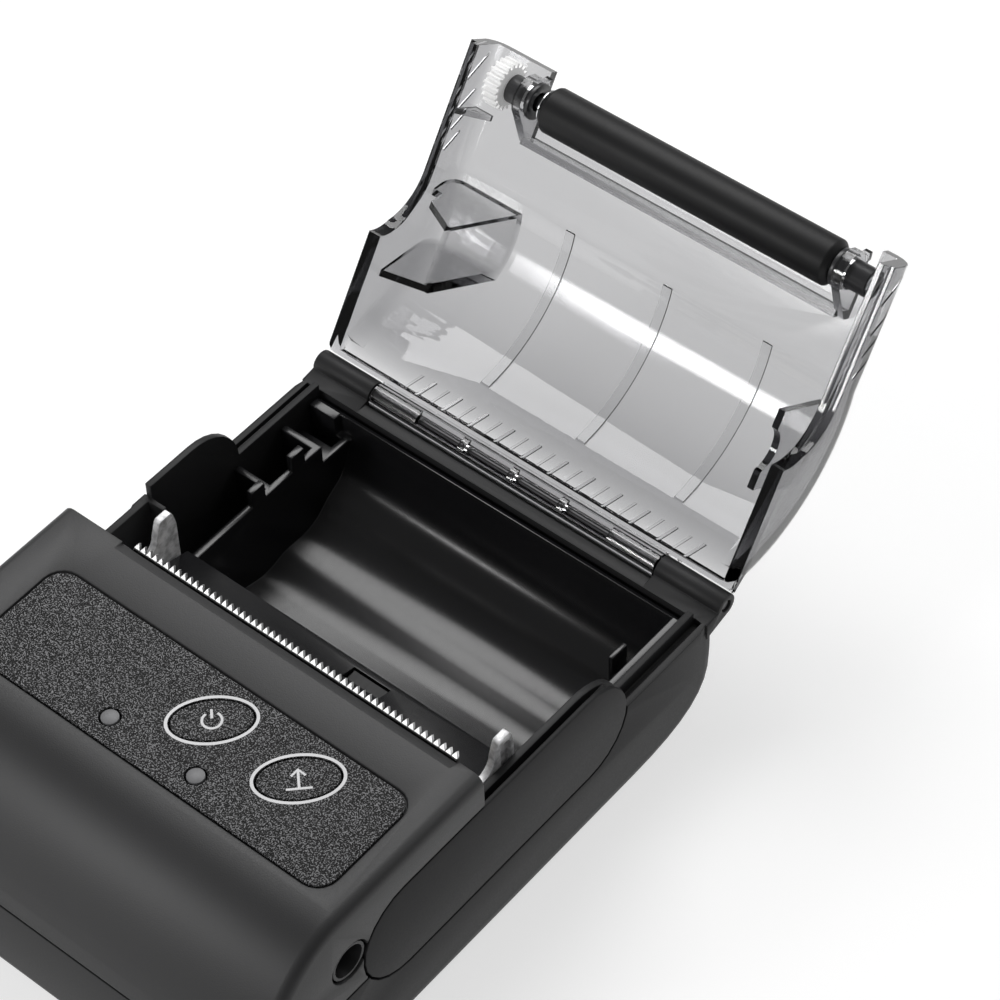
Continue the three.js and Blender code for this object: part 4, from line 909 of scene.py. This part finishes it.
def cover_mouldings(sizes):
    """The straps, gussets, corner rounds, the web and the hooks, as one piece."""
    first = STRAP_MIDDLE - sizes.strap_width / MM
    added = [strap(f"strap_{i}", first + (i - 1) * sizes.strap_pitch / MM, sizes) for i in range(3)]
    for i in range(GUSSET_COUNT):
        x = GUSSET_FIRST + i * sizes.gusset_pitch / MM / 2
        added.append(gusset(f"gusset_{i}", x, 0.9 if i % 2 else 0.4, sizes))
    added += [corner_round(f"corner_{side}", side, sizes) for side in (-1, 1)]
    left, top = -SIDE_INSIDE - 0.3, PLATE_INSIDE + 0.3
    web = ((left, 8), (left, top), (WEB_RIGHT, top), (WEB_RIGHT, PLATE_INSIDE - 0.5))
    added.append(slab("corner_web", [on_cover(x, WEB_REACH, rise) for x, rise in web], REACH * 0.9 * MM))
    for x in HOOK_PLACES:
        added.append(slab(f"hook_{x:.0f}", [on_cover(x, *place) for place in HOOK_LINE], (1.1 * MM, 0, 0)))
    return joined(added, "cover_mouldings")


def cover_grooves(sizes):
    """The grip grooves of both sides, as one piece."""
    return joined([grip_groove(f"groove_{side}_{i}", side, low, high, sizes)
                   for side in (-1, 1) for i, (low, high) in enumerate(GRIP_LINES)], "cover_grooves")


class PRINTER_OT_cover(bpy.types.Operator):
    """Rounds and polishes the clear cover and adds its straps, gussets, corner rounds and grip grooves"""

    bl_idname = "printer.cover"
    bl_label = "Clear cover"

    def execute(self, context):
        sizes = context.scene.printer_cover
        shell = dressed("cover_shell", 0, angle=COVER_SMOOTH)
        round_rims(shell, sizes.rim)
        combine(shell, cover_mouldings(sizes), "UNION")
        combine(shell, cover_grooves(sizes), "DIFFERENCE")
        soften(shell, 0, angle=COVER_SMOOTH)
        paint(shell, "clear_smoke")
        return {"FINISHED"}


WASHER_RADIUS = 0.0027
WASHER_HOLE = 0.6
WASHER_GAP = 0.00013
WASHER_THICKNESS = 0.00022


def washer(name, place, edge):
    """A thin steel ring between a bracket and the end of the roller."""
    ring = flat_ring(name, 48, WASHER_RADIUS, (WASHER_HOLE,) * 3, (WASHER_THICKNESS, 0, 0), place,
                     (0, math.pi / 2, 0))
    bpy.ops.object.transform_apply(location=True, rotation=True, scale=True)
    return soften(ring, edge * 0.4, 1)


class PRINTER_OT_roller(bpy.types.Operator):
    """Finishes the feed roller, its bushes and its gear"""

    bl_idname = "printer.roller"
    bl_label = "Feed roller"

    def execute(self, context):
        edge = finish_of(context).fine_edge
        dressed("roller_rubber", edge * 2, 3, 30)
        dressed("roller_shaft", edge)
        # painted light: the roller's gear takes the glowing acetal
        dressed("roller_gear", edge * 0.6, 1, finish="lit_acetal")
        dressed("left_roller_bush", edge)
        dressed("right_roller_bush", edge)
        low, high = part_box("roller_rubber")
        axis = (low + high) / 2
        for side, end in (("left", low.x - WASHER_GAP - WASHER_THICKNESS), ("right", high.x + WASHER_GAP)):
            settle(washer(f"{side}_washer", (end, axis.y, axis.z), edge), "cover", "bright_steel")
        return {"FINISHED"}


# Stage

def fade_out(data, share):
    """Lets the lamp fade towards its own edges, over a share of its half width."""
    data.use_nodes = True
    tree = data.node_tree
    node = node_maker(tree)
    place = node("ShaderNodeNewGeometry")
    apart = node("ShaderNodeSeparateXYZ")
    tree.links.new(place.outputs["Parametric"], apart.inputs["Vector"])
    both = node("ShaderNodeMath", operation="MULTIPLY")
    for axis, factor in zip(("X", "Y"), both.inputs):
        off = node("ShaderNodeMath", operation="SUBTRACT")
        off.inputs[1].default_value = 0.5
        size = node("ShaderNodeMath", operation="ABSOLUTE")
        fall = node("ShaderNodeMapRange", interpolation_type="SMOOTHSTEP")
        fall.inputs["From Min"].default_value = 0.5
        fall.inputs["From Max"].default_value = 0.5 - share / 2
        tree.links.new(apart.outputs[axis], off.inputs[0])
        tree.links.new(off.outputs[0], size.inputs[0])
        tree.links.new(size.outputs[0], fall.inputs["Value"])
        tree.links.new(fall.outputs["Result"], factor)
    tree.links.new(both.outputs[0], tree.nodes["Emission"].inputs["Strength"])


# Each lamp's name, place, aim, size and fade towards its edges
LAMPS = (
    ("top", (-0.33, 0.4, 0.7), (0, 0.02, 0.02), (0.6, 0.45), 0.0),
    ("back", (0.35, 0.7, 0.55), (0, 0.05, 0.03), (0.5, 0.4), 0.0),
    ("front", (-0.23, -0.47, 0.285), (0.005, 0.07, 0.033), (0.2, 0.175), 0.6),
)


def lamp(name, place, aim, size, power, fade):
    """A soft rectangular lamp at place, turned towards aim."""
    data = bpy.data.lights.new(name, "AREA")
    data.shape = "RECTANGLE"
    data.size, data.size_y = size
    data.energy = power
    if fade:
        fade_out(data, fade)
    made = bpy.data.objects.new(name, data)
    bpy.context.scene.collection.objects.link(made)
    made.location = place
    made.rotation_euler = (Vector(aim) - Vector(place)).to_track_quat("-Z", "Y").to_euler()


def seen_white(tree, node, strength):
    """Light that only the camera and its mirrored or refracted rays see."""
    path = node("ShaderNodeLightPath")
    glossy = node("ShaderNodeMath", operation="MAXIMUM")
    clear = node("ShaderNodeMath", operation="MAXIMUM")
    share = node("ShaderNodeMath", operation="MULTIPLY")
    share.inputs[1].default_value = strength
    tree.links.new(path.outputs["Is Camera Ray"], glossy.inputs[0])
    tree.links.new(path.outputs["Is Glossy Ray"], glossy.inputs[1])
    tree.links.new(glossy.outputs[0], clear.inputs[0])
    tree.links.new(path.outputs["Is Transmission Ray"], clear.inputs[1])
    tree.links.new(clear.outputs[0], share.inputs[0])
    return share.outputs[0]


def floor_material(colour, white):
    """A pale floor that keeps the printer's shadow and looks white elsewhere."""
    material, tree, principled, node = shader("pale_floor")
    principled.inputs["Base Color"].default_value = (*colour, 1)
    principled.inputs["Roughness"].default_value = 0.9
    principled.inputs["Specular IOR Level"].default_value = 0.0
    principled.inputs["Emission Color"].default_value = (1, 1, 1, 1)
    tree.links.new(seen_white(tree, node, white), principled.inputs["Emission Strength"])
    return material


def white_world(strength):
    """A world that lights with the strength and looks white to the camera."""
    world = bpy.data.worlds.new("studio")
    world.use_nodes = True
    tree = world.node_tree
    node = node_maker(tree)
    background = tree.nodes["Background"]
    background.inputs["Color"].default_value = (1, 1, 1, 1)
    path = node("ShaderNodeLightPath")
    mix = node("ShaderNodeMapRange")
    mix.inputs["To Min"].default_value = strength
    mix.inputs["To Max"].default_value = 1.0
    tree.links.new(path.outputs["Is Camera Ray"], mix.inputs["Value"])
    tree.links.new(mix.outputs["Result"], background.inputs["Strength"])
    bpy.context.scene.world = world


def camera_axes(settings):
    """The camera's right, up and back directions."""
    a, e, r = (math.radians(v) for v in (settings.azimuth, settings.elevation, settings.roll))
    back = Vector((math.sin(a) * math.cos(e), -math.cos(a) * math.cos(e), math.sin(e)))
    right = Vector((math.cos(a), math.sin(a), 0))
    up = back.cross(right)
    return right * math.cos(r) + up * math.sin(r), up * math.cos(r) - right * math.sin(r), back


def aim_camera(scene, settings):
    """Sets up the camera that the settings describe."""
    right, up, back = camera_axes(settings)
    data = bpy.data.cameras.new("camera")
    data.lens = settings.lens
    data.sensor_width = 36
    data.shift_x, data.shift_y = settings.shift
    data.clip_start, data.clip_end = 0.01, 20
    camera = bpy.data.objects.new("camera", data)
    scene.collection.objects.link(camera)
    place = Vector(settings.target) + right * settings.aside + up * settings.above + back * settings.distance
    turn = Matrix((right, up, back)).transposed().to_4x4()
    camera.matrix_world = Matrix.Translation(place) @ turn
    scene.camera = camera


class PRINTER_OT_stage(bpy.types.Operator):
    """Sets the floor, the lamps, the world and the camera"""

    bl_idname = "printer.stage"
    bl_label = "Stage"

    def execute(self, context):
        lights = context.scene.printer_light
        bpy.ops.object.select_all(action="DESELECT")
        bpy.ops.mesh.primitive_plane_add(size=6, location=(0, 0, 0))
        floor = context.object
        floor.name = "floor"
        floor.data.materials.append(floor_material(lights.floor, lights.floor_white))
        for name, place, aim, size, fade in LAMPS:
            lamp(f"{name}_lamp", place, aim, size, getattr(lights, name), fade)
        white_world(lights.world)
        aim_camera(context.scene, context.scene.printer_view)
        context.scene.view_settings.view_transform = "Standard"
        return {"FINISHED"}


class PRINTER_PT_panel(bpy.types.Panel):
    """Lists the steps that dress the printer"""

    bl_idname = "PRINTER_PT_panel"
    bl_label = "Receipt printer"
    bl_space_type = "VIEW_3D"
    bl_region_type = "UI"
    bl_category = "Printer"

    def draw(self, context):
        for group in GROUPS:
            box = self.layout.box()
            box.label(text=group.bl_rna.description)
            settings = getattr(context.scene, GROUP_NAMES[group])
            for name in group.__annotations__:
                box.prop(settings, name)
        for step in STEPS:
            self.layout.operator(step.bl_idname)


GROUP_NAMES = {
    PrinterView: "printer_view",
    PrinterLight: "printer_light",
    PrinterFinish: "printer_finish",
    PrinterCover: "printer_cover",
    PrinterLabel: "printer_label",
}
GROUPS = tuple(GROUP_NAMES)
STEPS = (
    PRINTER_OT_case,
    PRINTER_OT_bin,
    PRINTER_OT_mechanism,
    PRINTER_OT_electronics,
    PRINTER_OT_fasteners,
    PRINTER_OT_label,
    PRINTER_OT_cover,
    PRINTER_OT_roller,
    PRINTER_OT_stage,
)


def register():
    for group in GROUPS:
        bpy.utils.register_class(group)
        setattr(bpy.types.Scene, GROUP_NAMES[group], bpy.props.PointerProperty(type=group))
    for item in (*STEPS, PRINTER_PT_panel):
        bpy.utils.register_class(item)


def unregister():
    for item in (PRINTER_PT_panel, *reversed(STEPS)):
        bpy.utils.unregister_class(item)
    for group in reversed(GROUPS):
        delattr(bpy.types.Scene, GROUP_NAMES[group])
        bpy.utils.unregister_class(group)


def main():
    register()
    make_finishes(bpy.context.scene.printer_finish)
    bpy.ops.printer.case()
    bpy.ops.printer.bin()
    bpy.ops.printer.mechanism()
    bpy.ops.printer.electronics()
    bpy.ops.printer.fasteners()
    bpy.ops.printer.label()
    bpy.ops.printer.cover()
    bpy.ops.printer.roller()
    bpy.ops.printer.stage()


if __name__ == "__main__":
    main()
